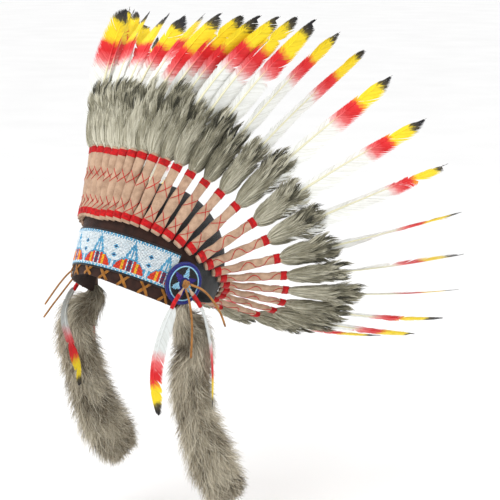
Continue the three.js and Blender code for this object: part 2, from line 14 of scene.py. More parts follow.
import bpy
import numpy as np
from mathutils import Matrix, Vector


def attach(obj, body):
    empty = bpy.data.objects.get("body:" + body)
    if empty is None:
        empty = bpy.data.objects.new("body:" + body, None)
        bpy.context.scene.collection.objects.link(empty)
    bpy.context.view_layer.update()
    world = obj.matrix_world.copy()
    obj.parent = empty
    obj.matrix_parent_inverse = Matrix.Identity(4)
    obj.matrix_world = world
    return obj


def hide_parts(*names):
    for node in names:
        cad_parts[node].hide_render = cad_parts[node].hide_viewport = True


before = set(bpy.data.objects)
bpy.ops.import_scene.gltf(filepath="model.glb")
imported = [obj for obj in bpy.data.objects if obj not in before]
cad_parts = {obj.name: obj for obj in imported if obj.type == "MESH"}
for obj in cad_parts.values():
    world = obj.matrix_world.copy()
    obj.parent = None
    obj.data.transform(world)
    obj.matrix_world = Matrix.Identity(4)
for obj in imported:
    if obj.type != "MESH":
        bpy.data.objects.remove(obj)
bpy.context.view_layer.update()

LOG = logging.getLogger("headdress")
MM = 0.001
BODY = "root"


# Small tools for points


def unit(vectors: np.ndarray) -> np.ndarray:
    """Scales vectors to length one.

    Args:
        vectors: one vector or rows of vectors.

    Returns:
        The same vectors with length one.
    """
    length = np.linalg.norm(vectors, axis=-1, keepdims=True)
    return vectors / np.maximum(length, 1e-12)


def linear(screen: tuple[int, int, int]) -> tuple[float, float, float, float]:
    """Turns a screen colour into the colour a shader wants.

    Args:
        screen: red, green and blue, 0 to 255.

    Returns:
        The linear colour with full alpha.
    """
    shares = [channel / 255 for channel in screen]
    bent = [s / 12.92 if s <= 0.04045 else ((s + 0.055) / 1.055) ** 2.4 for s in shares]
    return (bent[0], bent[1], bent[2], 1.0)


def ease(value: np.ndarray, low: float, high: float) -> np.ndarray:
    """Rises smoothly from 0 at one value to 1 at another.

    Args:
        value: where to read the curve.
        low: the value that gives 0.
        high: the value that gives 1.

    Returns:
        Shares from 0 to 1.
    """
    share = np.clip((np.asarray(value, float) - low) / (high - low), 0, 1)
    return share * share * (3 - 2 * share)


def runs(points: np.ndarray) -> np.ndarray:
    """Returns how far each point of a line lies along it."""
    return np.concatenate([[0], np.cumsum(np.linalg.norm(np.diff(points, axis=0), axis=1))])


def straight(along: np.ndarray, out: float = 0.0) -> np.ndarray:
    """Returns points of a straight master's middle line at distances along it."""
    return np.stack([0 * along, out + 0 * along, along], 1)


def about(angle: np.ndarray, along: np.ndarray | float = 0.0) -> np.ndarray:
    """Returns points at angles round a tube of radius one that runs along the third axis."""
    return np.stack([np.cos(angle), np.sin(angle), along + 0 * angle], 1)


@dataclass
class Patch:
    """A loose surface in millimetres, before it becomes part of a mesh."""

    corners: np.ndarray
    faces: list[np.ndarray]
    finish: int = 0
    tone: np.ndarray | None = None
    dye: np.ndarray | None = None

    def moved(self, corners: np.ndarray) -> "Patch":
        """Returns a copy of the patch with its corners in other places."""
        return Patch(corners, self.faces, self.finish, self.tone, self.dye)

    def faces_if(self, mirrored: bool) -> list[np.ndarray]:
        """Returns the faces, turned over where the corners have been mirrored."""
        return [group[:, ::-1] for group in self.faces] if mirrored else self.faces

    def on_axes(self, middle: np.ndarray, axes: np.ndarray) -> "Patch":
        """Returns a plain copy laid on three other directions, its faces still outwards."""
        mirrored = np.dot(np.cross(axes[0], axes[1]), axes[2]) < 0
        return Patch(self.corners @ axes + middle, self.faces_if(mirrored))


class Loom:
    """Gathers patches and weaves them into one Blender mesh."""

    def __init__(self, name: str, slot: str) -> None:
        """Starts an empty piece.

        Args:
            name: name of the Blender object.
            slot: a material slot's name, kept with the piece and handed on when it is settled.
        """
        self.name = name
        self.slot = slot
        self.patches: list[Patch] = []

    def add(self, patch: Patch, finish: int = 0) -> None:
        """Adds one patch with the number of its finish."""
        self.patches.append(Patch(patch.corners, patch.faces, finish, patch.tone, patch.dye))

    def weave(self, finishes: list[bpy.types.Material], nodes: list[str]) -> bpy.types.Object:
        """Makes the Blender object, lets it ride and says which CAD nodes it stands for.

        Args:
            finishes: materials, in the order of the patches' finish numbers.
            nodes: CAD nodes that the piece replaces.

        Returns:
            The finished object, at the origin.
        """
        starts = np.cumsum([0] + [len(p.corners) for p in self.patches])
        corners = np.concatenate([p.corners for p in self.patches]) * MM
        loops: list[np.ndarray] = []
        sizes: list[np.ndarray] = []
        kinds: list[np.ndarray] = []
        for start, patch in zip(starts, self.patches):
            for group in patch.faces:
                if len(group) == 0:
                    continue
                loops.append((group + start).ravel())
                sizes.append(np.full(len(group), group.shape[1]))
                kinds.append(np.full(len(group), patch.finish))
        loop = np.concatenate(loops)
        size = np.concatenate(sizes)
        mesh = bpy.data.meshes.new(self.name)
        mesh.vertices.add(len(corners))
        mesh.vertices.foreach_set("co", corners.astype(np.float32).ravel())
        mesh.loops.add(len(loop))
        mesh.loops.foreach_set("vertex_index", loop.astype(np.int32))
        mesh.polygons.add(len(size))
        mesh.polygons.foreach_set("loop_start", (np.cumsum(size) - size).astype(np.int32))
        mesh.polygons.foreach_set("material_index", np.concatenate(kinds).astype(np.int32))
        mesh.polygons.foreach_set("use_smooth", np.ones(len(size), bool))
        for finish in finishes:
            mesh.materials.append(finish)
        for label in ("tone", "dye"):
            values = [
                np.full(len(p.corners), 0.5) if getattr(p, label) is None else getattr(p, label)
                for p in self.patches
            ]
            layer = mesh.attributes.new(label, "FLOAT", "POINT")
            layer.data.foreach_set("value", np.concatenate(values).astype(np.float32))
        mesh.update(calc_edges=True)
        piece = bpy.data.objects.new(self.name, mesh)
        bpy.context.scene.collection.objects.link(piece)
        return settle(piece, self.slot, nodes)


def settle(piece: bpy.types.Object, slot: str, nodes: list[str]) -> bpy.types.Object:
    """Lets a finished piece ride on the frame.

    Args:
        piece: the finished object, at the origin.
        slot: not used.
        nodes: CAD nodes that the piece stands for.

    Returns:
        The same object.
    """
    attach(piece, BODY)
    if nodes:
        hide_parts(*nodes)
    LOG.info("%s: %d faces", piece.name, len(piece.data.polygons))
    return piece


def settle_plain(
    piece: bpy.types.Object, finish: "Cloth", slot: str, nodes: list[str]
) -> bpy.types.Object:
    """Smooths a piece modelled by hand, gives it one finish and lets it ride on the frame.

    Args:
        piece: the finished object in metres, at the origin.
        finish: its one finish.
        slot: a material slot's name, handed on to settle.
        nodes: CAD nodes that the piece stands for.

    Returns:
        The same object.
    """
    Bench.alone(piece)
    bpy.ops.object.shade_smooth()
    piece.data.materials.clear()
    piece.data.materials.append(finish.material())
    return settle(piece, slot, nodes)


# Modelling by hand: primitives, edit mode and modifiers


class Bench:
    """Blender's own modelling operators, each started with nothing selected."""

    @staticmethod
    def clear() -> None:
        """Deselects everything."""
        bpy.ops.object.select_all(action="DESELECT")

    @staticmethod
    def alone(piece: bpy.types.Object) -> None:
        """Selects one object and makes it the active one."""
        Bench.clear()
        piece.select_set(True)
        bpy.context.view_layer.objects.active = piece

    @staticmethod
    @contextmanager
    def editing() -> Iterator[None]:
        """Opens edit mode for the operators in its block."""
        bpy.ops.object.mode_set(mode="EDIT")
        yield
        bpy.ops.object.mode_set(mode="OBJECT")

    @staticmethod
    def tube(sides: int, radius: float, long: float, cuts: int) -> bpy.types.Object:
        """Adds a closed tube along Z from zero, with rings cut into it.

        Args:
            sides: number of sides.
            radius: radius in millimetres.
            long: length in millimetres.
            cuts: number of rings between the two ends.

        Returns:
            The tube, one unit to the millimetre.
        """
        Bench.clear()
        bpy.ops.mesh.primitive_cylinder_add(
            vertices=sides, radius=radius, depth=long, location=(0, 0, long / 2)
        )
        bpy.ops.object.transform_apply(location=True, rotation=False, scale=False)
        tube = bpy.context.object
        if cuts:
            Bench.choose_edges(tube, lambda a, b: abs(a.z - b.z) > long / 2)
            with Bench.editing():
                bpy.ops.mesh.subdivide(number_cuts=cuts)
        return tube

    @staticmethod
    def drum(
        sides: int, radius: float, long: float, cuts: int, bevel: float, segments: int
    ) -> Patch:
        """Models a closed tube along Z from zero with rounded rims.

        Args:
            sides: number of sides.
            radius: radius in millimetres.
            long: length in millimetres.
            cuts: number of rings between the two ends.
            bevel: width of the rounding.
            segments: number of faces across it.

        Returns:
            Its surface.
        """
        tube = Bench.tube(sides, radius, long, cuts)
        Bench.choose_edges(tube, lambda a, b: abs(a.z - b.z) < 0.01 and abs(a.z - long / 2) > 0.5)
        with Bench.editing():
            bpy.ops.mesh.bevel(offset=bevel, segments=segments, affect="EDGES")
        return Bench.take(tube)

    @staticmethod
    def grid(columns: int, rows: int) -> bpy.types.Object:
        """Adds a flat grid from -0.5 to 0.5 both ways, with that many fields."""
        Bench.clear()
        bpy.ops.mesh.primitive_grid_add(x_subdivisions=columns, y_subdivisions=rows, size=1)
        return bpy.context.object

    @staticmethod
    def choose_none(kind: str) -> None:
        """Deselects all parts of the active mesh and sets the kind that is chosen next."""
        with Bench.editing():
            bpy.ops.mesh.select_mode(type=kind)
            bpy.ops.mesh.select_all(action="DESELECT")

    @staticmethod
    def choose_edges(piece: bpy.types.Object, test: Callable[[Vector, Vector], bool]) -> None:
        """Selects the edges whose two ends pass a test.

        Args:
            piece: the mesh object, in object mode.
            test: takes the two ends' places and returns True to select the edge.
        """
        Bench.choose_none("EDGE")
        for edge in piece.data.edges:
            first, second = (piece.data.vertices[i].co for i in edge.vertices)
            edge.select = bool(test(first, second))

    @staticmethod
    def choose_faces(piece: bpy.types.Object, test: Callable[[Vector, Vector], bool]) -> None:
        """Selects the faces whose middle and normal pass a test.

        Args:
            piece: the mesh object, in object mode.
            test: takes a face's middle and its normal and returns True to select it.
        """
        Bench.choose_none("FACE")
        for face in piece.data.polygons:
            face.select = bool(test(face.center, face.normal))

    @staticmethod
    def face_out(piece: bpy.types.Object) -> None:
        """Turns the faces of a closed piece outwards."""
        Bench.alone(piece)
        with Bench.editing():
            bpy.ops.mesh.select_all(action="SELECT")
            bpy.ops.mesh.normals_make_consistent(inside=False)

    @staticmethod
    def apply(piece: bpy.types.Object, kind: str, **settings: object) -> None:
        """Adds a modifier with its settings and applies it.

        Args:
            piece: the mesh object.
            kind: Blender's name of the modifier type.
            **settings: the modifier's properties.
        """
        Bench.alone(piece)
        modifier = piece.modifiers.new(kind.title(), kind)
        for key, value in settings.items():
            setattr(modifier, key, value)
        bpy.ops.object.modifier_apply(modifier=modifier.name)

    @staticmethod
    def corners(piece: bpy.types.Object) -> np.ndarray:
        """Reads the corners of a mesh object as rows of numbers."""
        flat = np.zeros(len(piece.data.vertices) * 3, np.float64)
        piece.data.vertices.foreach_get("co", flat)
        return flat.reshape(-1, 3)

    @staticmethod
    def place(piece: bpy.types.Object, corners: np.ndarray) -> None:
        """Puts the corners of a mesh object in new places."""
        piece.data.vertices.foreach_set("co", corners.astype(np.float32).ravel())
        piece.data.update()

    @staticmethod
    def take(piece: bpy.types.Object) -> Patch:
        """Turns a modelled object into a patch that can be copied, and removes the object.

        Args:
            piece: the mesh object.

        Returns:
            Its surface.
        """
        corners = Bench.corners(piece)
        groups: dict[int, list[list[int]]] = {}
        for face in piece.data.polygons:
            groups.setdefault(len(face.vertices), []).append(list(face.vertices))
        faces = [np.array(group, int) for group in groups.values()]
        mesh = piece.data
        bpy.data.objects.remove(piece)
        bpy.data.meshes.remove(mesh)
        return Patch(corners, faces)


def copies(master: Patch, places: np.ndarray, axes: np.ndarray) -> Patch:
    """Copies a small master to many places.

    Args:
        master: the shape to repeat.
        places: one row for each copy's middle.
        axes: for each copy, its three axes as rows.

    Returns:
        All copies as one patch.
    """
    count = len(places)
    corners = np.einsum("vi,nij->nvj", master.corners, axes) + places[:, None, :]
    steps = np.arange(count)[:, None, None] * len(master.corners)
    faces = [(group[None] + steps).reshape(-1, group.shape[1]) for group in master.faces]
    return Patch(corners.reshape(-1, 3), faces)


def tube_along(
    path: np.ndarray, wide: np.ndarray | float, thick: np.ndarray | float, hint: np.ndarray,
    sides: int, closed: bool = False,
) -> Patch:
    """Sweeps a flattened round section along a path.

    Args:
        path: rows of points.
        wide: full width, one for all or one for each point.
        thick: full thickness, one for all or one for each point.
        hint: direction that the thickness leans to, one or one for each point.
        sides: number of sides of the section.
        closed: True for a ring.

    Returns:
        The closed surface.
    """
    count = len(path)
    if closed:
        tangent = unit(np.roll(path, -1, 0) - np.roll(path, 1, 0))
    else:
        tangent = unit(np.gradient(path, axis=0))
    lean = np.broadcast_to(hint, path.shape)
    face = unit(lean - tangent * np.sum(lean * tangent, 1, keepdims=True))
    across = np.cross(face, tangent)
    angle = np.arange(sides) / sides * 2 * math.pi
    ring = (
        across[:, None] * (np.cos(angle)[None, :, None] * np.reshape(wide, (-1, 1, 1)) / 2)
        + face[:, None] * (np.sin(angle)[None, :, None] * np.reshape(thick, (-1, 1, 1)) / 2)
    )
    corners = (path[:, None] + ring).reshape(-1, 3)
    last = count if closed else count - 1
    i, j = np.meshgrid(np.arange(last), np.arange(sides), indexing="ij")
    here, turn = i * sides, (j + 1) % sides
    there = ((i + 1) % count) * sides
    faces = [np.stack([here + j, there + j, there + turn, here + turn], -1).reshape(-1, 4)]
    if not closed:
        ends = np.arange(sides)
        faces.append(np.stack([ends, ends[::-1] + (count - 1) * sides]))
    return Patch(corners, faces)


def widthways(paths: np.ndarray, other: np.ndarray) -> np.ndarray:
    """Returns the direction of each strip's width, square to its run and to a second direction."""
    return unit(np.cross(unit(paths[:, -1] - paths[:, 0]), other))


def ribbons(paths: np.ndarray, half: np.ndarray, sides: np.ndarray, tone: np.ndarray) -> Patch:
    """Makes thin tapering strips, such as hairs or the barbs of a feather.

    Args:
        paths: for each strip, its points from root to tip.
        half: half width at each point. The last is a point.
        sides: for each strip, the direction its width lies in.
        tone: shade number at each point.

    Returns:
        All strips as one patch with their tones.
    """
    count, steps, _ = paths.shape
    out = sides[:, None, :] * half[:, :-1, None]
    pairs = np.stack([paths[:, :-1] - out, paths[:, :-1] + out], 2).reshape(count, -1, 3)
    corners = np.concatenate([pairs, paths[:, -1:]], 1)
    each = corners.shape[1]
    base = np.arange(count)[:, None] * each
    quads = []
    for step in range(steps - 2):
        quad = np.array([2 * step, 2 * step + 1, 2 * step + 3, 2 * step + 2])
        quads.append(base + quad[None])
    ends = base + np.array([each - 3, each - 2, each - 1])[None]
    faces = [np.concatenate(quads), ends] if quads else [ends]
    tones = np.concatenate([np.repeat(tone[:, :-1], 2, 1), tone[:, -1:]], 1)
    return Patch(corners.reshape(-1, 3), faces, tone=tones.ravel())


class Curve:
    """The smooth curve that the CAD model sends through the points of a hanging route."""

    STEPS = 400
    NEAR = 0.004

    def __init__(self, points: np.ndarray) -> None:
        """Samples the curve closely.

        Args:
            points: the route's points, in millimetres.
        """
        self.dense = np.array([self._point(points, t) for t in np.linspace(0, 1, self.STEPS + 1)])
        self.run = runs(self.dense)
        self.length = float(self.run[-1])

    @staticmethod
    def _point(points: np.ndarray, share: float) -> np.ndarray:
        """Returns one point of the centripetal curve."""
        last = len(points) - 1
        place = min(int(share * last), last - 1)
        t = share * last - place
        p1, p2 = points[place], points[place + 1]
        p0 = points[place - 1] if place > 0 else 2 * points[0] - points[1]
        p3 = points[place + 2] if place + 2 <= last else 2 * points[last] - points[last - 1]
        gaps = [max(np.linalg.norm(b - a), 1e-6) ** 0.5 for a, b in ((p0, p1), (p1, p2), (p2, p3))]
        d0, d1, d2 = gaps
        enter = ((p1 - p0) / d0 - (p2 - p0) / (d0 + d1) + (p2 - p1) / d1) * d1
        leave = ((p2 - p1) / d1 - (p3 - p1) / (d1 + d2) + (p3 - p2) / d2) * d1
        square = -3 * p1 + 3 * p2 - 2 * enter - leave
        cube = 2 * p1 - 2 * p2 + enter + leave
        return p1 + enter * t + square * t * t + cube * t ** 3

    def at(self, shares: np.ndarray) -> np.ndarray:
        """Returns the points at shares of the curve's length."""
        along = np.clip(np.asarray(shares, float), 0, 1) * self.length
        return np.stack([np.interp(along, self.run, self.dense[:, k]) for k in range(3)], -1)

    def tangents(self, shares: np.ndarray) -> np.ndarray:
        """Returns the directions at shares of the curve's length."""
        shares = np.asarray(shares, float)
        near = self.NEAR
        return unit(self.at(np.minimum(shares + near, 1)) - self.at(np.maximum(shares - near, 0)))

    def frames(self, shares: np.ndarray, side: int) -> tuple[np.ndarray, np.ndarray]:
        """Returns the directions along the curve and, square to them, out to a side."""
        tangent = self.tangents(shares)
        return tangent, unit(np.array([[side * 1.0, 0, 0]]) - tangent * tangent[:, :1] * side)


# Finishes


class NodeSheet:
    """A material's node tree while it is being laid out."""

    def __init__(self, name: str) -> None:
        """Starts a material with nothing but a shader and its output."""
        self.material = bpy.data.materials.new(name)
        self.material.use_nodes = True
        self.tree = self.material.node_tree
        self.tree.nodes.clear()
        output = self.add("ShaderNodeOutputMaterial")
        self.shader = self.add("ShaderNodeBsdfPrincipled")
        self.join(self.shader.outputs[0], output.inputs["Surface"])

    def add(self, kind: str, settings: dict | None = None, **inputs: object) -> bpy.types.Node:
        """Adds a node.

        Args:
            kind: Blender's type name of the node.
            settings: properties of the node.
            **inputs: values for its sockets, spaces in the sockets' names written as _.

        Returns:
            The node.
        """
        node = self.tree.nodes.new(kind)
        for key, value in (settings or {}).items():
            setattr(node, key, value)
        for key, value in inputs.items():
            node.inputs[key.replace("_", " ")].default_value = value
        return node

    def join(self, source: bpy.types.NodeSocket, target: bpy.types.NodeSocket) -> None:
        """Links two sockets."""
        self.tree.links.new(source, target)

    def surface(self, **values: object) -> None:
        """Sets values on the shader's own sockets, spaces in their names written as _."""
        for key, value in values.items():
            self.shader.inputs[key.replace("_", " ")].default_value = value

    def paint(self, colour: bpy.types.NodeSocket) -> None:
        """Makes a colour the surface's own."""
        self.join(colour, self.shader.inputs["Base Color"])

    def place(self) -> bpy.types.NodeSocket:
        """Returns the surface's place in the piece."""
        return self.add("ShaderNodeTexCoord").outputs["Object"]

    def noise(
        self, place: bpy.types.NodeSocket, scale: float, detail: float, rough: float
    ) -> bpy.types.NodeSocket:
        """Adds a noise.

        Args:
            place: the coordinates it reads.
            scale: number of its features in a metre.
            detail: how many finer layers it has.
            rough: how strong those are.

        Returns:
            The noise's value.
        """
        node = self.add("ShaderNodeTexNoise", Scale=scale, Detail=detail, Roughness=rough)
        self.join(place, node.inputs["Vector"])
        return node.outputs[0]

    def sums(
        self, first: bpy.types.NodeSocket, second: bpy.types.NodeSocket, share: float
    ) -> bpy.types.NodeSocket:
        """Returns the first value with a share of the second one added."""
        node = self.add("ShaderNodeMath", {"operation": "MULTIPLY_ADD"})
        node.inputs[1].default_value = share
        self.join(second, node.inputs[0])
        self.join(first, node.inputs[2])
        return node.outputs[0]

    def ramp(self, value: bpy.types.NodeSocket, stops: list[tuple]) -> bpy.types.NodeSocket:
        """Turns a value into a colour.

        Args:
            value: the value to read.
            stops: places from 0 to 1 and their screen colours.

        Returns:
            The colour.
        """
        node = self.add("ShaderNodeValToRGB")
        stones = node.color_ramp.elements
        while len(stones) < len(stops):
            stones.new(0.5)
        for stone, (at, colour) in zip(stones, stops):
            stone.position = at
            stone.color = linear(colour)
        self.join(value, node.inputs[0])
        return node.outputs[0]

    def attribute(self, name: str) -> bpy.types.NodeSocket:
        """Returns a number stored on the piece's own points."""
        return self.add("ShaderNodeAttribute", {"attribute_name": name}).outputs["Fac"]

    def bump(self, height: bpy.types.NodeSocket, strength: float, depth: float) -> None:
        """Gives the surface relief.

        Args:
            height: the relief's height.
            strength: how much of it shows, 0 to 1.
            depth: its depth in metres.
        """
        node = self.add("ShaderNodeBump", Strength=strength, Distance=depth)
        self.join(height, node.inputs["Height"])
        self.join(node.outputs[0], self.shader.inputs["Normal"])


@dataclass(frozen=True)
class Cloth:
    """Felt, suede or leather: mottled colour, nap and grain."""

    name: str
    dark: tuple
    light: tuple
    blotch: float = 90.0
    grain: float = 1400.0
    depth: float = 0.0006
    relief: float = 0.5
    roughness: float = 0.9
    sheen: float = 0.25

    def material(self) -> bpy.types.Material:
        """Lays out the material."""
        sheet = NodeSheet(self.name)
        place = sheet.place()
        fine = sheet.noise(place, self.grain, 5, 0.65)
        broad = sheet.noise(place, self.blotch, 3, 0.5)
        mixed = sheet.sums(broad, fine, 0.6)
        sheet.paint(sheet.ramp(mixed, [(0.45, self.dark), (0.95, self.light)]))
        sheet.surface(
            Roughness=self.roughness, Sheen_Weight=self.sheen, Sheen_Roughness=0.5,
            Specular_IOR_Level=0.22,
        )
        sheet.bump(fine, self.relief, self.depth)
        return sheet.material


@dataclass(frozen=True)
class Thread:
    """Cotton thread, wound tight."""

    name: str
    dark: tuple
    light: tuple

    def material(self) -> bpy.types.Material:
        """Lays out the material."""
        sheet = NodeSheet(self.name)
        place = sheet.place()
        fibre = sheet.noise(place, 2600, 3, 0.6)
        slub = sheet.noise(place, 240, 2, 0.5)
        mixed = sheet.sums(slub, fibre, 0.5)
        sheet.paint(sheet.ramp(mixed, [(0.45, self.dark), (0.95, self.light)]))
        sheet.surface(Roughness=0.55, Sheen_Weight=0.06, Specular_IOR_Level=0.25)
        sheet.bump(fibre, 0.4, 0.0003)
        return sheet.material


@dataclass(frozen=True)
class Glass:
    """Small opaque glass beads."""

    name: str
    colour: tuple
    deep: tuple

    def material(self) -> bpy.types.Material:
        """Lays out the material."""
        sheet = NodeSheet(self.name)
        shade = sheet.noise(sheet.place(), 420, 2, 0.5)
        sheet.paint(sheet.ramp(shade, [(0.3, self.deep), (0.62, self.colour)]))
        sheet.surface(Roughness=0.22, Coat_Weight=0.3, Coat_Roughness=0.1)
        return sheet.material


@dataclass(frozen=True)
class Hair:
    """Fur, down or fluff. Each strand carries its own tone."""

    name: str
    shades: tuple
    grizzle: float = 0.25

    STOPS = (0.2, 0.42, 0.64, 0.9)

    def material(self) -> bpy.types.Material:
        """Lays out the material."""
        sheet = NodeSheet(self.name)
        mottle = sheet.noise(sheet.place(), 130, 4, 0.6)
        tone = sheet.sums(sheet.attribute("tone"), mottle, self.grizzle)
        sheet.paint(sheet.ramp(tone, list(zip(self.STOPS, self.shades))))
        sheet.surface(Roughness=0.75, Sheen_Weight=0.2, Sheen_Roughness=0.4)
        return sheet.material


@dataclass(frozen=True)
class DyedVane:
    """A white feather with a black tip and yellow and red bands, dipped by hand.

    The reaches are distances from the tip in millimetres. SPAN is the distance that the colours
    are spread over, STRAY how far their edges wander and MIDDLE about what that adds on average.
    """

    name: str
    black: float = 18.0
    yellow: float = 56.0
    red: float = 84.0
    bare: tuple = (240, 241, 237)

    SPAN = 160.0
    STRAY = 9.0
    MIDDLE = 8.0

    def material(self) -> bpy.types.Material:
        """Lays out the material."""
        sheet = NodeSheet(self.name)
        place = sheet.place()
        soak = sheet.noise(place, 260, 3, 0.6)
        streak_and_shade = sheet.attribute("tone")
        reach = sheet.sums(sheet.attribute("dye"), soak, self.STRAY)
        reach = sheet.sums(reach, streak_and_shade, self.STRAY)
        share = sheet.add("ShaderNodeMath", {"operation": "DIVIDE"})
        share.inputs[1].default_value = self.SPAN
        sheet.join(reach, share.inputs[0])
        colour = sheet.ramp(share.outputs[0], self.stops())
        # The barbs' tone and a noise darken the colour in streaks, down to a warm grey: partly tone that
        # differs at random from barb to barb, partly painted shade.
        depth = sheet.sums(streak_and_shade, soak, 0.3)
        shade = sheet.ramp(depth, [(0.15, (224, 223, 217)), (0.75, (255, 255, 255))])
        mix = sheet.add("ShaderNodeMix", {"data_type": "RGBA", "blend_type": "MULTIPLY"})
        mix.inputs[0].default_value = 1.0
        sheet.join(colour, mix.inputs[6])
        sheet.join(shade, mix.inputs[7])
        sheet.paint(mix.outputs[2])
        sheet.surface(Roughness=0.6, Sheen_Weight=0.1, Specular_IOR_Level=0.3)
        sheet.bump(sheet.noise(place, 1900, 3, 0.6), 0.3, 0.0003)
        return sheet.material

    def stops(self) -> list[tuple]:
        """Returns the dye's colours from the tip down."""
        edges = (self.black, self.yellow, self.red)
        black, yellow, red = ((edge + self.MIDDLE) / self.SPAN for edge in edges)
        return [
            (max(black - 0.06, 0.0), (26, 25, 30)),
            (black, (74, 66, 40)),
            (black + 0.04, (244, 216, 30)),
            (yellow - 0.03, (250, 220, 32)),
            (yellow + 0.03, (226, 40, 40)),
            (red - 0.08, (218, 26, 34)),
            (red, (232, 104, 106)),
            (min(red + 0.1, 1.0), self.bare),
        ]


# The form under everything, as in the CAD model


@dataclass(frozen=True)
class HeadForm:
    """The cap's wall. Angles run round from the front, rises along the cap's leaning axis."""

    fit: float = 0.3
    wide: float = 77.0
    long: float = 97.0
    cap_wall: float = 2.0
    cap_rise: float = 92.0
    cap_drop: float = 25.0
    tilt: float = math.radians(27)
    flare: float = math.radians(6)
    brow_out: float = 4.8
    bead_out: float = 7.3
    rosette_at: float = 78.0
    rosette_drop: float = 27.0
    rosette_back: float = 8.4
    rosette_wall: float = 4.0
    knot_high: float = 6.4

    def wall(self, degrees: np.ndarray, rise: np.ndarray, out: np.ndarray) -> np.ndarray:
        """Returns points of the wall in the cap's own frame.

        Args:
            degrees: angles round from the front, positive to the wearer's left.
            rise: heights along the cap's axis.
            out: distances out from the inside of the cap.

        Returns:
            One row for each point.
        """
        degrees, rise, out = np.broadcast_arrays(degrees, rise, out)
        angle = np.radians(degrees)
        spread = out + rise * math.tan(self.flare)
        x = (self.wide + spread) * np.sin(angle)
        y = -(self.long + spread) * np.cos(angle)
        return np.stack([x, y, rise + 0.0 * x], -1)

    def normal(self, degrees: np.ndarray, rise: np.ndarray, out: np.ndarray) -> np.ndarray:
        """Returns outward normals of the wall in the cap's own frame."""
        small = 0.5
        degrees, rise = np.asarray(degrees, float), np.asarray(rise, float)
        turn = self.wall(degrees + small, rise, out) - self.wall(degrees - small, rise, out)
        up = self.wall(degrees, rise + small, out) - self.wall(degrees, rise - small, out)
        return unit(np.cross(turn, up))

    def worn(self, points: np.ndarray) -> np.ndarray:
        """Leans points or directions back with the cap."""
        c, s = math.cos(self.tilt), math.sin(self.tilt)
        x, y, z = np.moveaxis(np.asarray(points, float), -1, 0)
        return np.stack([x, y * c + z * s, -y * s + z * c], -1)

    def upright(self, points: np.ndarray) -> np.ndarray:
        """Takes points or directions back to the cap's own frame."""
        c, s = math.cos(self.tilt), math.sin(self.tilt)
        x, y, z = np.moveaxis(np.asarray(points, float), -1, 0)
        return np.stack([x, y * c - z * s, y * s + z * c], -1)

    def on_wall(self, degrees: np.ndarray, rise: np.ndarray, out: np.ndarray) -> np.ndarray:
        """Returns points of the wall as it is worn."""
        return self.worn(self.wall(degrees, rise, out))

    def outward(self, degrees: np.ndarray, rise: np.ndarray) -> np.ndarray:
        """Returns outward normals of the wall as it is worn."""
        return self.worn(self.normal(degrees, rise, self.brow_out))

    def distance_out(self, points: np.ndarray, over_band: bool) -> np.ndarray:
        """Returns how far points lie outside the brow band, or outside the cap itself."""
        own = self.upright(points)
        z = own[..., 2]
        crown = np.logical_and(not over_band, z > 0)
        spread = self.brow_out if over_band else self.cap_wall
        flared = np.where(crown, spread, spread + z * math.tan(self.flare))
        rounding = np.where(crown, np.sqrt(np.maximum(1 - (z / self.cap_rise) ** 2, 0.01)), 1)
        wide, long = (self.wide + flared) * rounding, (self.long + flared) * rounding
        reach = np.hypot(own[..., 0], own[..., 1])
        return reach * (1 - 1 / np.hypot(own[..., 0] / wide, own[..., 1] / long))

    def temple(self, side: int) -> tuple[np.ndarray, np.ndarray, np.ndarray, np.ndarray]:
        """Returns where a rosette sits.

        Args:
            side: 1 for the wearer's left and -1 for the right.

        Returns:
            Middle of its back, and its directions to the back, up and out.
        """
        at = side * self.rosette_at
        middle = self.on_wall(at, -self.rosette_drop, self.rosette_back)
        out = self.worn(self.normal(at, -self.rosette_drop, self.rosette_back))
        up = unit(np.array([0.0, 0.0, 1.0]) - out * out[2])
        back = unit(np.cross(up, out) * side)
        return middle, back, up, out

    def knot(self, side: int) -> np.ndarray:
        """Returns the middle of the knot on a rosette."""
        middle, _, _, out = self.temple(side)
        return middle + out * (self.rosette_wall + self.fit + self.knot_high / 2)


HEAD = HeadForm()


# Cap and brow band


@dataclass
class FeltCap:
    """The dark felt skullcap that everything is sewn to."""

    segments: int = 72
    rings: int = 20
    rim_rings: int = 4
    near: float = 1e-4
    finish: Cloth = Cloth("cap felt", (22, 24, 26), (56, 60, 62), 60, 1700, 0.0012, 0.7, 0.95, 0.15)

    def build(self) -> bpy.types.Object:
        """Models the cap: half a ball, its rim drawn down, then a wall put in."""
        Bench.clear()
        bpy.ops.mesh.primitive_uv_sphere_add(
            segments=self.segments, ring_count=2 * self.rings, radius=1, location=(0, 0, 0)
        )
        cap = bpy.context.object
        cap.name = "cap_felt"
        with Bench.editing():
            bpy.ops.mesh.select_all(action="SELECT")
            bpy.ops.mesh.bisect(
                plane_co=(0, 0, 0), plane_no=(0, 0, 1), use_fill=False, clear_inner=True
            )
        Bench.choose_edges(cap, lambda a, b: abs(a.z) < self.near and abs(b.z) < self.near)
        drop = {"value": (0, 0, -1 / self.rim_rings)}
        with Bench.editing():
            for _ in range(self.rim_rings):
                bpy.ops.mesh.extrude_region_move(TRANSFORM_OT_translate=drop)
        points = Bench.corners(cap)
        wall = points[:, 2] < -self.near
        drop = np.where(wall, points[:, 2] * HEAD.cap_drop, 0)
        spread = HEAD.cap_wall + drop * math.tan(HEAD.flare)
        shaped = np.stack(
            [
                points[:, 0] * (HEAD.wide + spread),
                points[:, 1] * (HEAD.long + spread),
                np.where(wall, drop, points[:, 2] * HEAD.cap_rise),
            ],
            1,
        )
        Bench.place(cap, HEAD.worn(shaped) * MM)
        Bench.apply(cap, "SOLIDIFY", thickness=HEAD.cap_wall * MM, offset=-1.0)
        return settle_plain(cap, self.finish, "felt", ["felt_cap"])


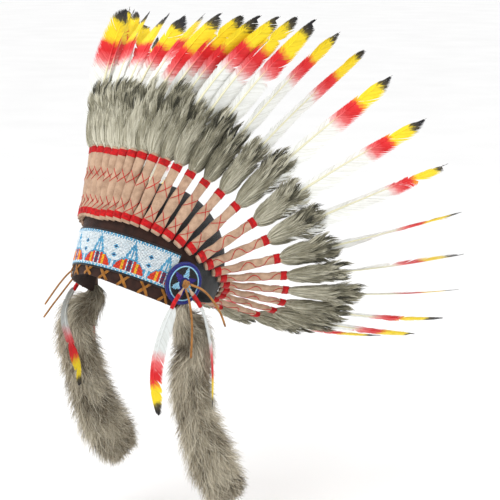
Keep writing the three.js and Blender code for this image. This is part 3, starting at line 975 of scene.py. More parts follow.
@dataclass
class BrowBand:
    """The dark brown leather band under the beadwork, with its lower edge dipping to the temples."""

    end: float = 85.0
    top: float = 24.0
    bottom: float = 52.0
    dip: float = 5.0
    wall: float = 2.5
    rounding: float = 0.7
    columns: int = 96
    rows: int = 16
    finish: Cloth = Cloth("brow leather", (26, 14, 10), (56, 32, 24), 110, 1500, 0.0008, 0.6, 0.7, 0.08)

    def low(self, degrees: np.ndarray) -> np.ndarray:
        """Returns the rise of the lower edge at angles round the head."""
        turn = np.minimum(1, np.abs(degrees) / 60) * math.pi / 2
        return -self.bottom - self.dip * np.sin(turn)

    def high(self, degrees: np.ndarray) -> np.ndarray:
        """Returns the rise of the upper edge at angles round the head."""
        share = np.clip((np.abs(degrees) - 45) / 40, 0, 1)
        return self.top * (1 - 0.7 * share)

    def build(self) -> bpy.types.Object:
        """Models the band: a flat grid wrapped round the head, given its wall and rounded edges."""
        band = Bench.grid(self.columns, self.rows)
        band.name = "brow_leather"
        flat = Bench.corners(band)
        at = flat[:, 0] * 2 * self.end
        share = flat[:, 1] + 0.5
        rise = self.low(at) + (self.high(at) - self.low(at)) * share
        Bench.place(band, HEAD.on_wall(at, rise, HEAD.brow_out) * MM)
        Bench.apply(band, "SOLIDIFY", thickness=self.wall * MM, offset=-1.0)
        Bench.face_out(band)
        Bench.apply(band, "BEVEL", width=self.rounding * MM, segments=2, limit_method="ANGLE")
        return settle_plain(band, self.finish, "leather", ["brow_band"])


@dataclass
class EdgeLacing:
    """Crossed suede stitches along the lower edge of the brow band."""

    places: tuple = (-69.0, -52.0, -34.5, -17.3, 0.0, 17.3, 34.5, 52.0, 69.0)
    half_wide: float = 6.4
    strap_wide: float = 3.4
    strap_thick: float = 1.1
    top: float = 41.4
    head_radius: float = 92.0
    proud: float = 1.15
    steps: int = 12
    finish: Cloth = Cloth(
        "lacing suede", (98, 58, 18), (170, 112, 44), 160, 1900, 0.0006, 0.6, 0.9, 0.2
    )

    def strap(self, band: BrowBand, at: float, lean: int, over: float) -> Patch:
        """Models one strap of a cross.

        Args:
            band: the band that it is laced to.
            at: angle of the middle of the cross.
            lean: 1 or -1, the way it crosses.
            over: how far its middle stands over the other strap.

        Returns:
            The strap.
        """
        share = np.linspace(0, 1, self.steps)
        turn = math.degrees(self.half_wide / self.head_radius)
        degrees = at + lean * turn * (1 - 2 * share)
        low = float(band.low(np.array(at))) + 0.2
        rise = -self.top + (low + self.top) * share
        dive = np.clip(np.minimum(share, 1 - share) / 0.1, 0, 1)
        bulge = np.exp(-(((share - 0.5) / 0.22) ** 2))
        out = HEAD.brow_out + 0.1 + 0.75 * dive + over * bulge
        path = HEAD.on_wall(degrees, rise, out)
        hint = HEAD.outward(degrees, rise)
        swell = 1 + 0.12 * np.sin(share * 9 + at)
        wide = self.strap_wide * swell * (0.75 + 0.25 * dive)
        return tube_along(path, wide, self.strap_thick, hint, 10)

    def build(self, band: BrowBand) -> bpy.types.Object:
        """Laces all crosses as one piece."""
        loom = Loom("edge_lacing", "suede")
        for at in self.places:
            loom.add(self.strap(band, at, 1, 0.0))
            loom.add(self.strap(band, at, -1, self.proud))
        return loom.weave([self.finish.material()], [])


# Beadwork


class BeadColour(Enum):
    """Colours of the glass beads: how they look, and how they look in their darker parts."""

    WHITE = ((240, 246, 248), (196, 214, 224))
    SKY = ((104, 186, 222), (66, 150, 196))
    ORANGE = ((236, 66, 26), (204, 44, 18))
    YELLOW = ((250, 198, 44), (232, 168, 24))
    NAVY = ((58, 66, 116), (32, 38, 84))
    CRIMSON = ((150, 40, 62), (116, 26, 50))
    ROYAL = ((34, 44, 150), (22, 28, 112))
    BLACK = ((26, 27, 30), (14, 14, 16))
    VIOLET = ((62, 44, 158), (42, 28, 122))
    ICE = ((184, 234, 255), (136, 208, 244))

    def material(self) -> bpy.types.Material:
        """Lays out the glass of this colour."""
        return Glass(f"bead {self.name.lower()}", *self.value).material()


BEAD_RADIUS = 0.8
BEAD_LONG = 1.56


def sew_beads(
    loom: Loom, places: np.ndarray, axes: np.ndarray, colours: list[BeadColour], finishes: list
) -> None:
    """Copies one bead, a six-sided barrel with rounded ends, to every place, colour by colour.

    Args:
        loom: the piece that the beads are added to.
        places: middles of the beads.
        axes: for each bead its three axes as rows, the last along its hole.
        colours: the beads' colours.
        finishes: the piece's materials so far. Those of the beads are added to them.
    """
    bead = Bench.drum(6, BEAD_RADIUS, BEAD_LONG, 0, 0.3, 1)
    bead = bead.moved(bead.corners - np.array([0, 0, BEAD_LONG / 2]))
    for colour in BeadColour:
        chosen = np.array([c is colour for c in colours])
        if chosen.any():
            loom.add(copies(bead, places[chosen], axes[chosen]), len(finishes))
            finishes.append(colour.material())


@dataclass
class BeadedBand:
    """The loomed band over the brow: spires and half rounds on white, with a border."""

    end: float = 70.0
    top: float = 2.5
    bottom: float = 41.0
    rows: int = 25
    pitch: float = 1.62
    repeat: int = 27
    shift: int = 6
    spots: tuple = (10, 16)
    middle: float = -19.0
    backing: float = 1.0
    edge: float = 1.6
    seed: int = 5

    def colour(self, column: int, row: int) -> BeadColour:
        """Reads the chart of the pattern.

        Args:
            column: beads from the middle of the brow.
            row: beads up from the lower edge.

        Returns:
            The bead's colour.
        """
        half = self.repeat // 2
        aside = abs((column - self.shift + half) % self.repeat - half)
        between = half - aside
        if row in (0, self.rows - 1):
            return BeadColour.SKY if column % 3 else BeadColour.WHITE
        if row == 1:
            return BeadColour.SKY if column % 4 == 0 else BeadColour.WHITE
        if row == self.rows - 2:
            return BeadColour.SKY if column % 2 else BeadColour.WHITE
        height = 8.8 * math.sqrt(max(0.0, 1 - (aside / 11.6) ** 2))
        if row - 1 <= height and aside <= 11:
            if aside == 0:
                return BeadColour.CRIMSON if row % 2 else BeadColour.NAVY
            if aside == 1:
                return BeadColour.NAVY if row % 3 == 0 else BeadColour.CRIMSON
            if aside == 2:
                return BeadColour.WHITE if row % 4 else BeadColour.SKY
            if aside in (5, 6):
                return BeadColour.YELLOW
            return BeadColour.ORANGE
        if row - 1 <= height + 1.2 and aside <= 12:
            return BeadColour.SKY
        if row < 7 and between in (1, 2):
            return BeadColour.SKY
        spire = 6.4 * (1 - (row - 7) / 16.5)
        if row >= 7 and aside <= spire:
            inner = spire - aside
            return BeadColour.SKY if inner < 1.9 or aside in (0, 3) else BeadColour.WHITE
        reach = between + min(abs(row - spot) for spot in self.spots)
        if reach <= 1:
            return BeadColour.SKY if reach else BeadColour.NAVY
        return BeadColour.WHITE

    def angles(self, columns: np.ndarray) -> np.ndarray:
        """Returns the angle round the head of each column, evenly spaced along the band."""
        steps = np.linspace(0, self.end, 400)
        run = runs(HEAD.wall(steps, self.middle, HEAD.bead_out))
        reach = run[-1] - BEAD_RADIUS
        along = np.abs(columns) * self.pitch
        return np.sign(columns) * np.interp(np.minimum(along, reach), run, steps)

    def build(self) -> list[bpy.types.Object]:
        """Builds the backing with its black edge and all the beads."""
        return [self.build_backing(), self.build_beads()]

    def build_backing(self) -> bpy.types.Object:
        """Models the dark backing and the dark tubes along its edges."""
        back = Bench.grid(84, 10)
        flat = Bench.corners(back)
        at = flat[:, 0] * 2 * self.end
        rise = -self.bottom + (self.top + self.bottom) * (flat[:, 1] + 0.5)
        outer = HEAD.brow_out + HEAD.fit + self.backing
        Bench.place(back, HEAD.on_wall(at, rise, outer))
        Bench.apply(back, "SOLIDIFY", thickness=self.backing, offset=-1.0)
        Bench.face_out(back)
        loom = Loom("bead_backing", "leather")
        loom.add(Bench.take(back), 0)
        turns = np.linspace(-self.end, self.end, 90)
        rises = np.linspace(-self.bottom, self.top, 20)
        for at, rise, wide in (
            (turns, -self.bottom - 0.2, 2.3),
            (turns, self.top + 0.2, 2.3),
            (-self.end, rises, 2.0),
            (self.end, rises, 2.0),
        ):
            path = HEAD.on_wall(at, rise, outer)
            loom.add(tube_along(path, wide, 2.0, HEAD.outward(at, rise), 8), 1)
        cloth = Cloth("backing cloth", (24, 24, 30), (52, 54, 62), 200, 1800)
        # A near-black cloth for the tubes along the backing's edges.
        edge = Cloth("dark band edge", (12, 12, 14), (40, 40, 44), 260, 2200)
        return loom.weave([cloth.material(), edge.material()], [])

    def build_beads(self) -> bpy.types.Object:
        """Copies one bead over the whole chart."""
        rng = np.random.default_rng(self.seed)
        line = HEAD.wall(np.linspace(-self.end, self.end, 400), self.middle, HEAD.bead_out)
        half = int((runs(line)[-1] / 2 - 1.2) / self.pitch)
        columns = np.arange(-half, half + 1)
        degrees = self.angles(columns)
        step = (self.top + self.bottom - 2 * self.edge) / (self.rows - 1)
        rises = -self.bottom + self.edge + step * np.arange(self.rows)
        column, row = (g.ravel() for g in np.meshgrid(np.arange(len(columns)), np.arange(self.rows)))
        at, rise = degrees[column], rises[row] + rng.normal(0, 0.05, len(column))
        out = HEAD.brow_out + HEAD.fit + self.backing + 0.55 + rng.normal(0, 0.05, len(column))
        places = HEAD.on_wall(at, rise, out)
        normal = HEAD.outward(at, rise)
        up = unit(HEAD.on_wall(at, rise + 1, out) - places)
        side = np.cross(up, normal)
        size = 1 + rng.normal(0, 0.035, (len(column), 1))
        axes = np.stack([side * size * 0.98, normal * size, up * size], 1)
        colours = [self.colour(int(columns[c]), int(r)) for c, r in zip(column, row)]
        loom = Loom("band_beads", "band_beads")
        finishes = []
        sew_beads(loom, places, axes, colours, finishes)
        return loom.weave(finishes, ["bead_band"])


@dataclass
class Rosette:
    """A round of edge-stitched beads with a six-pointed star, on a hide disc."""

    name: str
    side: int
    radius: float = 26.0
    disc: float = 3.1
    edge: float = 0.9
    ring_step: float = 1.78
    pitch: float = 1.72
    centre_reach: float = 7.6
    star_reach: float = 19.2
    star_turn: float = 8.0
    star_half: float = 4.6
    seed: int = 11

    def colour(self, reach: float, angle: float) -> BeadColour:
        """Reads the pattern.

        Args:
            reach: distance from the middle in millimetres.
            angle: degrees round from the back, turning up.

        Returns:
            The bead's colour.
        """
        if reach > self.radius - 4.0:
            return BeadColour.ROYAL
        if reach > self.radius - 5.8:
            return BeadColour.ICE
        if reach < 2.4:
            return BeadColour.ROYAL
        if reach < self.centre_reach:
            return BeadColour.NAVY if reach < 6.2 else BeadColour.ROYAL
        turn = (angle - self.star_turn) % 360
        point = int(((turn + 30) % 360) // 60)
        off = abs((turn + 30) % 60 - 30)
        taper = self.star_half * (self.star_reach - reach)
        half = taper / (self.star_reach - self.centre_reach) + 0.5
        if reach < self.star_reach and math.radians(off) * reach < half:
            return BeadColour.VIOLET if point % 2 == 0 else BeadColour.ICE
        return BeadColour.BLACK

    def build(self) -> bpy.types.Object:
        """Builds the hide disc, the rounds of beads and the beaded rim."""
        middle, back, up, out = HEAD.temple(self.side)
        rng = np.random.default_rng(self.seed + self.side)
        loom = Loom(self.name, "rosette_beads")
        disc = Bench.drum(56, self.radius - 0.5, self.disc, 1, 0.5, 2)
        loom.add(disc.on_axes(middle, np.stack([back, up, out])), 0)
        places, axes, colours = [], [], []
        reach = self.edge
        while reach < self.radius - self.edge:
            count = round(2 * math.pi * reach / self.pitch)
            shift = rng.uniform(0, 360)
            for k in range(count):
                turn = shift + 360 * k / count
                places.append((reach, turn, self.disc + 0.25 + rng.normal(0, 0.05)))
                colours.append(self.colour(reach, turn))
            reach += self.ring_step
        rim = round(2 * math.pi * (self.radius - self.edge) / self.pitch)
        for k in range(rim):
            places.append((self.radius - 0.75, 360 * k / rim, self.disc - self.edge))
            colours.append(BeadColour.ROYAL)
        spots = []
        for reach, turn, height in places:
            angle = math.radians(turn)
            radial = back * math.cos(angle) + up * math.sin(angle)
            along = -back * math.sin(angle) + up * math.cos(angle)
            spots.append(middle + radial * reach + out * height)
            axes.append(np.stack([radial, np.cross(along, radial), along]) * (1 + rng.normal(0, 0.03)))
        finishes = [Cloth("rosette hide", (20, 18, 22), (48, 44, 48)).material()]
        sew_beads(loom, np.array(spots), np.array(axes), colours, finishes)
        return loom.weave(finishes, [f"rosette_{'left' if self.side > 0 else 'right'}"])


# Hanging routes, knots and thongs


TAN_SUEDE = Cloth("thong suede", (112, 68, 28), (178, 124, 66), 180, 2000, 0.0005, 0.5, 0.9, 0.2)


def hanging(side: int, points: tuple) -> np.ndarray:
    """Places a hanging route.

    Args:
        side: 1 for the wearer's left and -1 for the right.
        points: distances out, back and up from the middle of the knot.

    Returns:
        The route's points.
    """
    centre = HEAD.knot(side)
    return np.array([[centre[0] + side * o, centre[1] + b, centre[2] + u] for o, b, u in points])


@dataclass
class Knot:
    """The suede knot on a rosette, tied from the thongs that hang below it."""

    name: str
    side: int
    radius: float = 4.3
    strand: float = 2.6
    high: float = 3.7
    heart_radius: float = 2.6
    heart_high: float = 3.2
    steps: int = 72

    def build(self) -> bpy.types.Object:
        """Models the knot as a looped strand that passes over and under itself."""
        _, back, up, out = HEAD.temple(self.side)
        centre = HEAD.knot(self.side)
        turn = np.linspace(0, 2 * math.pi, self.steps, endpoint=False)
        ring, loop = 2.15, 0.9
        reach = ring + np.cos(3 * turn) * loop
        x = reach * np.cos(2 * turn)
        y = reach * np.sin(2 * turn)
        scale = (self.radius - self.strand / 2 + 1.3) / (ring + loop)
        z = np.sin(3 * turn) * (self.high - self.strand) / 1.1
        path = centre + np.outer(x * scale, back) + np.outer(y * scale, up) + np.outer(z, out)
        loom = Loom(self.name, "suede")
        loom.add(tube_along(path, self.strand, self.strand * 0.9, out, 10, closed=True))
        heart = Bench.drum(12, self.heart_radius, self.heart_high, 1, 0.9, 2)
        heart = heart.moved(heart.corners - np.array([0, 0, self.heart_high / 2]))
        loom.add(heart.on_axes(centre, np.stack([back, up, out])))
        return loom.weave([TAN_SUEDE.material()], [self.name.replace("suede_", "thong_")])


@dataclass
class Thong:
    """A suede thong that hangs from its knot with a free end."""

    name: str
    side: int
    points: tuple
    thick: float = 2.8
    steps: int = 24

    def build(self) -> bpy.types.Object:
        curve = Curve(hanging(self.side, self.points))
        share = np.linspace(0, 1, self.steps)
        path = curve.at(share)
        hint = np.array([self.side * 1.0, -0.35, 0.2])
        wide = np.full(self.steps, self.thick)
        wide[-1] *= 0.8
        loom = Loom(f"suede_{self.name}", "suede")
        loom.add(tube_along(path, wide, wide * 0.78, hint, 10))
        piece = loom.weave([TAN_SUEDE.material()], [self.name])
        line = [[float(c) for c in point] for point in path * MM]
        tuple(line[0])
        return piece


THONGS = (
    ("thong_end_1", 1, ((0.4, -1.1, -6.2), (4, 1, -20), (7, 2, -42), (9, 0, -65), (10, -3, -88))),
    ("thong_end_2", 1, ((1.8, 5.7, -1.1), (7, 22, -10), (11, 36, -26), (13, 46, -42), (13, 54, -59))),
    ("thong_end_3", -1, ((1.4, -5.7, 0), (9, -17, -8), (16, -26, -20), (22, -35, -34), (28, -43, -48))),
    ("thong_end_4", -1, ((0.9, -4.5, -3.8), (7, -16, -18), (13, -27, -33), (19, -38, -48), (24, -49, -63))),
)
PENDANTS = (
    (
        "pendant_feather_1", 1, 42.0,
        ((0.5, -4.6, -4), (2, -24, -21), (0, -47, -66), (-4, -52, -108), (-6, -42, -160)),
    ),
    (
        "pendant_feather_2", 1, -28.0,
        ((1.1, 3, -5), (8, 19, -34), (16, 25, -80), (17, 27, -117), (16, 27, -157)),
    ),
    (
        "pendant_feather_3", -1, -5.0,
        (
            (0.6, 0.8, -6.1), (5, -7, -22), (2, -26, -40), (-8, -42, -60), (-22, -45, -88),
            (-28, -39, -118), (-28, -37, -148),
        ),
    ),
    (
        "pendant_feather_4", -1, -30.0,
        ((1.1, 4.2, -4.2), (8, 20, -34), (14, 26, -80), (16, 28, -117), (15, 27, -157)),
    ),
)


# Feathers


class Finish(IntEnum):
    """Finish numbers of a feather's parts, as FeatherFinishes lays them out."""

    FELT = 0
    THREAD = 1
    VANE = 2
    QUILL = 3
    FLUFF = 4


OUT = np.array([0.0, 1.0, 0.0])


@dataclass(frozen=True)
class Stand:
    """How the feathers stand at one place of the row."""

    at: float
    seat: float
    lean: float
    splay: float
    tip_lean: float
    tip_splay: float
    long: float


STANDS = (
    Stand(0, 0.15, 21, 0, 57, 0, 0.86),
    Stand(20, 0.185, 21, 11, 53, 20, 0.885),
    Stand(45, 0.165, 33, 11, 45, 25, 0.955),
    Stand(70, 0.105, 50, 13, 48, 28, 1),
    Stand(90, 0.035, 66, 25, 65, 33, 0.99),
    Stand(115, -0.02, 90, 37, 82, 30, 0.94),
    Stand(140, -0.09, 109, 31, 95, 25, 0.905),
    Stand(163, -0.19, 113, 7, 98, 20, 0.88),
)


def between(key: str, at: float) -> float:
    """Reads a value of the row between its stands, smoothly through every one.

    Args:
        key: name of the value.
        at: degrees from the front.

    Returns:
        The value there.
    """
    last = len(STANDS) - 1
    found = next((i for i, stand in enumerate(STANDS) if stand.at >= at), -1)
    nxt = last if at >= STANDS[last].at else min(max(found, 1), last)
    r0, r1, r2, r3 = (STANDS[min(max(i, 0), last)] for i in (nxt - 2, nxt - 1, nxt, nxt + 1))
    t = min(max((at - r1.at) / (r2.at - r1.at), 0), 1)
    span = r2.at - r1.at

    def slope(a: Stand, b: Stand) -> float:
        """Returns the value's slope from one stand to another."""
        return 0.0 if a.at == b.at else (getattr(b, key) - getattr(a, key)) / (b.at - a.at)

    enter, leave = slope(r0, r2) * span, slope(r1, r3) * span
    t2, t3 = t * t, t ** 3
    ends = getattr(r1, key) * (2 * t3 - 3 * t2 + 1) + getattr(r2, key) * (3 * t2 - 2 * t3)
    return ends + enter * (t3 - 2 * t2 + t) + leave * (t3 - t2)


@dataclass(frozen=True)
class Lap:
    """Width, thickness and lap that decide how far a part of a feather is turned to clear the next."""

    wide: float
    thick: float
    lap: float = 0.0


SHEATH_LAP = Lap(13.5, 6.5)
VANE_LAP = Lap(28.0, 1.5, 8.0)
FLUFF_LAP = Lap(36.0, 18.0)


@dataclass
class Shaft:
    """The line of one feather: straight in its sheath, then bent towards the tip."""

    along: np.ndarray
    tipwards: np.ndarray
    normal: np.ndarray
    seat: np.ndarray
    over_band: bool
    length: float
    sheath: float
    lift: float = 0.0

    def point(self, distance: np.ndarray) -> np.ndarray:
        """Returns points at distances from the lower end."""
        distance = np.atleast_1d(np.asarray(distance, float))
        bend = (self.length - self.sheath) / 2
        foot = self.seat + self.normal * self.lift
        t = np.maximum((distance - self.sheath) / (self.length - self.sheath), 0)[:, None]
        straight = np.minimum(distance, self.sheath)[:, None]
        return foot + self.along * (straight + bend * (2 * t - t * t)) + self.tipwards * bend * t * t

    def direction(self, distance: np.ndarray) -> np.ndarray:
        """Returns directions at distances from the lower end."""
        distance = np.atleast_1d(np.asarray(distance, float))
        t = np.clip((distance - self.sheath) / (self.length - self.sheath), 0, 1)[:, None]
        return unit(self.along * (1 - t) + self.tipwards * t)


@dataclass
class FeatherRow:
    """The row of feathers round the cap, as the CAD model stands them."""

    each_side: int = 18
    row_end: float = 163.0
    brow_pitch: float = 5.0
    band_end: float = 85.0
    long: float = 340.0
    sheath_long: float = 88.0
    lap_slope: float = 0.5
    shafts: dict[int, Shaft] = field(default_factory=dict)

    def __post_init__(self) -> None:
        """Stands every feather and lifts it until its sheath rests on the wall."""
        for number in range(-self.each_side, self.each_side + 1):
            self.shafts[number] = self.shaft(self.place(number))
        lifts = {}
        for number, shaft in self.shafts.items():
            corners = self.sheath_corners(number)
            lifts[number] = HEAD.fit - float(np.min(HEAD.distance_out(corners, shaft.over_band)))
        for number, lift in lifts.items():
            self.shafts[number].lift = lift

    def place(self, number: int) -> float:
        """Returns a feather's angle round from the front, negative on the wearer's right."""
        count = abs(number)
        widening = (self.row_end - self.each_side * self.brow_pitch) / self.each_side ** 2
        return math.copysign(count * self.brow_pitch + count * count * widening, number)

    @staticmethod
    def pointing(lean: float, splay: float) -> np.ndarray:
        """Returns a direction from degrees back from upright and degrees to the side."""
        back, aside = math.radians(lean), math.radians(splay)
        flat = math.cos(aside)
        return np.array([math.sin(aside), flat * math.sin(back), flat * math.cos(back)])

    def shaft(self, degrees: float) -> Shaft:
        """Stands one feather at an angle round the head."""
        side = -1 if degrees < 0 else 1
        at = abs(degrees)
        over_band = at < self.band_end
        out = HEAD.brow_out if over_band else HEAD.cap_wall
        rise = between("seat", at) * HEAD.cap_rise
        return Shaft(
            along=self.pointing(between("lean", at), side * between("splay", at)),
            tipwards=self.pointing(between("tip_lean", at), side * between("tip_splay", at)),
            normal=HEAD.worn(HEAD.normal(degrees, rise, out)),
            seat=HEAD.on_wall(degrees, rise, out),
            over_band=over_band,
            length=between("long", at) * self.long,
            sheath=self.sheath_long,
        )

    def frames(self, number: int, distance: np.ndarray, lap: Lap) -> tuple:
        """Returns the frames of a feather at distances along it, turned to lap like shingles.

        Args:
            number: the feather's number from the middle of the brow.
            distance: distances from its lower end.
            lap: what is being laid.

        Returns:
            Points, directions across, directions out and thicknesses.
        """
        shaft = self.shafts[number]
        distance = np.atleast_1d(np.asarray(distance, float))
        share = distance / shaft.length
        before = self.shafts.get(number - 1, shaft)
        after = self.shafts.get(number + 1, shaft)
        tangent = shaft.direction(distance)
        across = after.point(share * after.length) - before.point(share * before.length)
        across = across - tangent * np.sum(across * tangent, 1, keepdims=True)
        gap = np.linalg.norm(across, axis=1) / (1 if before is shaft or after is shaft else 2)
        across = unit(across)
        face = unit(np.cross(across, tangent))
        crowd = np.clip((1.12 * lap.wide - gap) / (0.2 * lap.wide), 0, 1)
        room = np.maximum(0.6, self.lap_slope * gap - HEAD.fit)
        deep = lap.thick + (np.minimum(lap.thick, room) - lap.thick) * crowd
        lift = (np.maximum(deep, lap.lap) + HEAD.fit) / gap
        turn = (crowd * np.arcsin(np.clip(lift, 0, 0.7)))[:, None]
        across_turned = across * np.cos(turn) - face * np.sin(turn)
        face_turned = across * np.sin(turn) + face * np.cos(turn)
        return shaft.point(distance), across_turned, face_turned, deep

    def sheath_corners(self, number: int) -> np.ndarray:
        """Returns the corners of the sheath's two lower rings."""
        corners = []
        for share, size in ((0, 0.86), (0.05, 1)):
            point, across, face, deep = self.frames(number, share * self.sheath_long, SHEATH_LAP)
            for a, b in ((0.5, 0), (0.28, 0.5), (-0.28, 0.5), (-0.5, 0), (-0.28, -0.5), (0.28, -0.5)):
                reach = across[0] * a * SHEATH_LAP.wide * size + face[0] * b * deep[0] * size
                corners.append(point[0] + reach)
        return np.array(corners)

    def lay(self, number: int, local: np.ndarray, lap: Lap, twist: float = 0.0) -> np.ndarray:
        """Lays a straight master along a feather.

        Args:
            number: the feather's number.
            local: rows of distance across, distance out and distance along.
            lap: what is being laid.
            twist: how far it has turned about the shaft at the tip, in radians.

        Returns:
            The points in the frame of the headdress.
        """
        length = self.shafts[number].length
        stops = np.linspace(0, length, 80)
        point, across, face, deep = self.frames(number, stops, lap)
        along = np.clip(local[:, 2], 0, length)

        def read(rows: np.ndarray) -> np.ndarray:
            """Reads a row of vectors at every distance."""
            return np.stack([np.interp(along, stops, rows[:, k]) for k in range(3)], -1)

        thin = np.interp(along, stops, deep) / lap.thick
        tangent = self.shafts[number].direction(along)
        over = (local[:, 2] - along)[:, None]
        turn = twist * ease(along / length, 0.15, 0.7)
        aside, out = local[:, 0], local[:, 1] * thin
        wide = (aside * np.cos(turn) - out * np.sin(turn))[:, None]
        deep = (aside * np.sin(turn) + out * np.cos(turn))[:, None]
        return read(point) + read(across) * wide + read(face) * deep + tangent * over


class Stitch(Enum):
    """How the thread runs between a sheath's two wraps."""

    CROSSED = "crossed"
    WAVY = "wavy"


@dataclass
class FeatherKit:
    """Straight masters for everything a feather is made of. Third numbers run along the shaft."""

    sheath_long: float = 88.0
    sheath_wide: float = 13.5
    sheath_thick: float = 6.5
    wrap_long: float = 8.0
    wrap_at: tuple = (7.0, 82.0)
    vane_from: float = 84.0
    vane_long: float = 250.0
    vane_half: float = 14.0
    narrow_side: float = 0.56
    wide_side: float = 1.34
    barbs: int = 200
    new_group: float = 0.04
    parted: float = 0.3
    quill_wide: float = 3.6
    quill_tip: float = 0.5
    hairs: int = 2300
    fluff_locks: int = 150
    fluff_from: float = 85.0
    fluff_long: float = 83.0
    fluff_half: float = 18.0
    fluff_deep: float = 9.0
    fluff_most: float = 1.34
    fluff_start: float = 0.86
    variants: int = 8
    small_variants: int = 4
    vane_seed: int = 100
    small_seed: int = 60
    fluff_seed: int = 200

    BARB_STEPS = (0.0, 0.3, 0.65, 1.0)
    BARB_WIDTHS = (0.8, 0.95, 0.72, 0.0)
    HAIR_WIDTHS = (0.45, 0.6, 0.42, 0.0)

    def __post_init__(self) -> None:
        """Models the masters once."""
        self.sheath = self.model_sheath()
        self.wraps = [self.model_wrap(at) for at in self.wrap_at]
        self.threads = {
            Stitch.CROSSED: self.crossed_thread(),
            Stitch.WAVY: self.wavy_thread(),
        }
        chance = np.random.default_rng
        self.vanes = [self.model_vane(chance(self.vane_seed + k)) for k in range(self.variants)]
        self.small_vanes = [
            self.model_vane(chance(self.small_seed + k), False) for k in range(self.small_variants)
        ]
        self.fluffs = [self.model_fluff(chance(self.fluff_seed + k)) for k in range(self.variants)]

    def size_at(self, along: np.ndarray) -> np.ndarray:
        """Returns the sheath's size along its length, as a share of its widest."""
        ats = np.array([0, 0.05, 0.16, 0.3, 0.4, 0.5, 0.6, 0.7, 0.84, 1.0]) * self.sheath_long
        return np.interp(along, ats, [0.86, 1.0, 0.98, 0.8, 0.95, 1.0, 0.94, 0.78, 0.88, 0.85])

    def rounded(self, points: np.ndarray, proud: float) -> np.ndarray:
        """Gives a unit tube the flattened section of the sheath.

        Args:
            points: corners of a tube of radius one, third numbers along the sheath.
            proud: how far it stands off the sheath's surface.

        Returns:
            The shaped corners.
        """
        size = self.size_at(points[:, 2])
        reach = np.hypot(points[:, 0], points[:, 1])
        angle = np.arctan2(points[:, 1], points[:, 0])
        c, s = np.cos(angle), np.sin(angle)
        x = np.sign(c) * np.abs(c) ** 0.8 * (self.sheath_wide / 2 * size + proud)
        y = np.sign(s) * np.abs(s) ** 0.8 * (self.sheath_thick / 2 * size + proud)
        return np.stack([x * reach, y * reach, points[:, 2]], 1)

    def model_sheath(self) -> Patch:
        """Models the felt sheath: a flattened tube with its ends tucked in."""
        tube = Bench.tube(16, 1.0, self.sheath_long, 19)
        Bench.choose_faces(tube, lambda middle, normal: abs(normal.z) > 0.9)
        with Bench.editing():
            bpy.ops.mesh.inset(thickness=0.16, depth=0.5)
            bpy.ops.mesh.inset(thickness=0.22, depth=-1.2)
        patch = Bench.take(tube)
        return patch.moved(self.rounded(patch.corners, 0.0))

    def model_wrap(self, middle: float) -> Patch:
        """Models one wrap of thread as eight turns lying side by side."""
        patch = Bench.take(Bench.tube(16, 1.0, self.wrap_long, 15))
        points = patch.corners.copy()
        turn = np.round(points[:, 2] / (self.wrap_long / 16)).astype(int)
        proud = np.where(turn % 2 == 1, 0.75, 0.35)
        proud = np.where((points[:, 2] < 0.01) | (points[:, 2] > self.wrap_long - 0.01), 0.05, proud)
        points[:, 2] += middle - self.wrap_long / 2
        low = self.rounded(points, 0.0)
        high = self.rounded(points, 1.0)
        return patch.moved(low + (high - low) * proud[:, None])

    def strand(self, angle: np.ndarray, wide: float) -> Patch:
        """Models a thread that runs over the sheath from wrap to wrap.

        Args:
            angle: angles round the sheath, evenly spaced along it.
            wide: width of the thread.

        Returns:
            The thread.
        """
        low, high = self.wrap_at[0] + 3.6, self.wrap_at[1] - 3.6
        along = low + (high - low) * np.linspace(0, 1, len(angle))
        path = self.rounded(about(angle, along), 0.25)
        return tube_along(path, wide, 0.7, about(angle), 5)

    def crossed_thread(self) -> list[Patch]:
        """Models two threads that wind opposite ways and cross in diamonds."""
        share = np.linspace(0, 1, 44)
        phase = (share * 2.0) % 1.0
        flat = np.where(phase < 0.5, 1 - 4 * phase, 4 * phase - 3)
        turn = np.arccos(np.clip(np.sign(flat) * np.abs(flat) ** 1.25, -1, 1))
        turn = np.where(phase < 0.5, turn, 2 * math.pi - turn)
        return [self.strand(angle, 0.95) for angle in (turn, math.pi - turn)]

    def wavy_thread(self) -> list[Patch]:
        """Models a single thread that wanders from edge to edge, on both faces."""
        share = np.linspace(0, 1, 40)
        strands = []
        for front in (1, -1):
            swing = np.sin(share * 2 * math.pi * 2.2 + front) * 0.95
            strands.append(self.strand(front * math.pi / 2 + swing, 1.0))
        return strands

    def half_width(self, share: np.ndarray, long_feather: bool) -> np.ndarray:
        """Returns a vane's half width along it, from its root at 0 to its tip at 1."""
        ats = [0, 0.06, 0.2, 0.45, 0.7, 0.88, 0.96, 1.0]
        wides = [0.3, 0.72, 0.94, 1.0, 0.92, 0.7, 0.46, 0.1]
        if long_feather:
            ats = [0, 0.1, 0.25, 0.42, 0.6, 0.78, 0.88, 0.94, 0.975, 1.0]
            wides = [0.2, 0.6, 0.92, 1.02, 1.0, 0.9, 0.76, 0.6, 0.42, 0.12]
        return self.vane_half * np.interp(share, ats, wides)

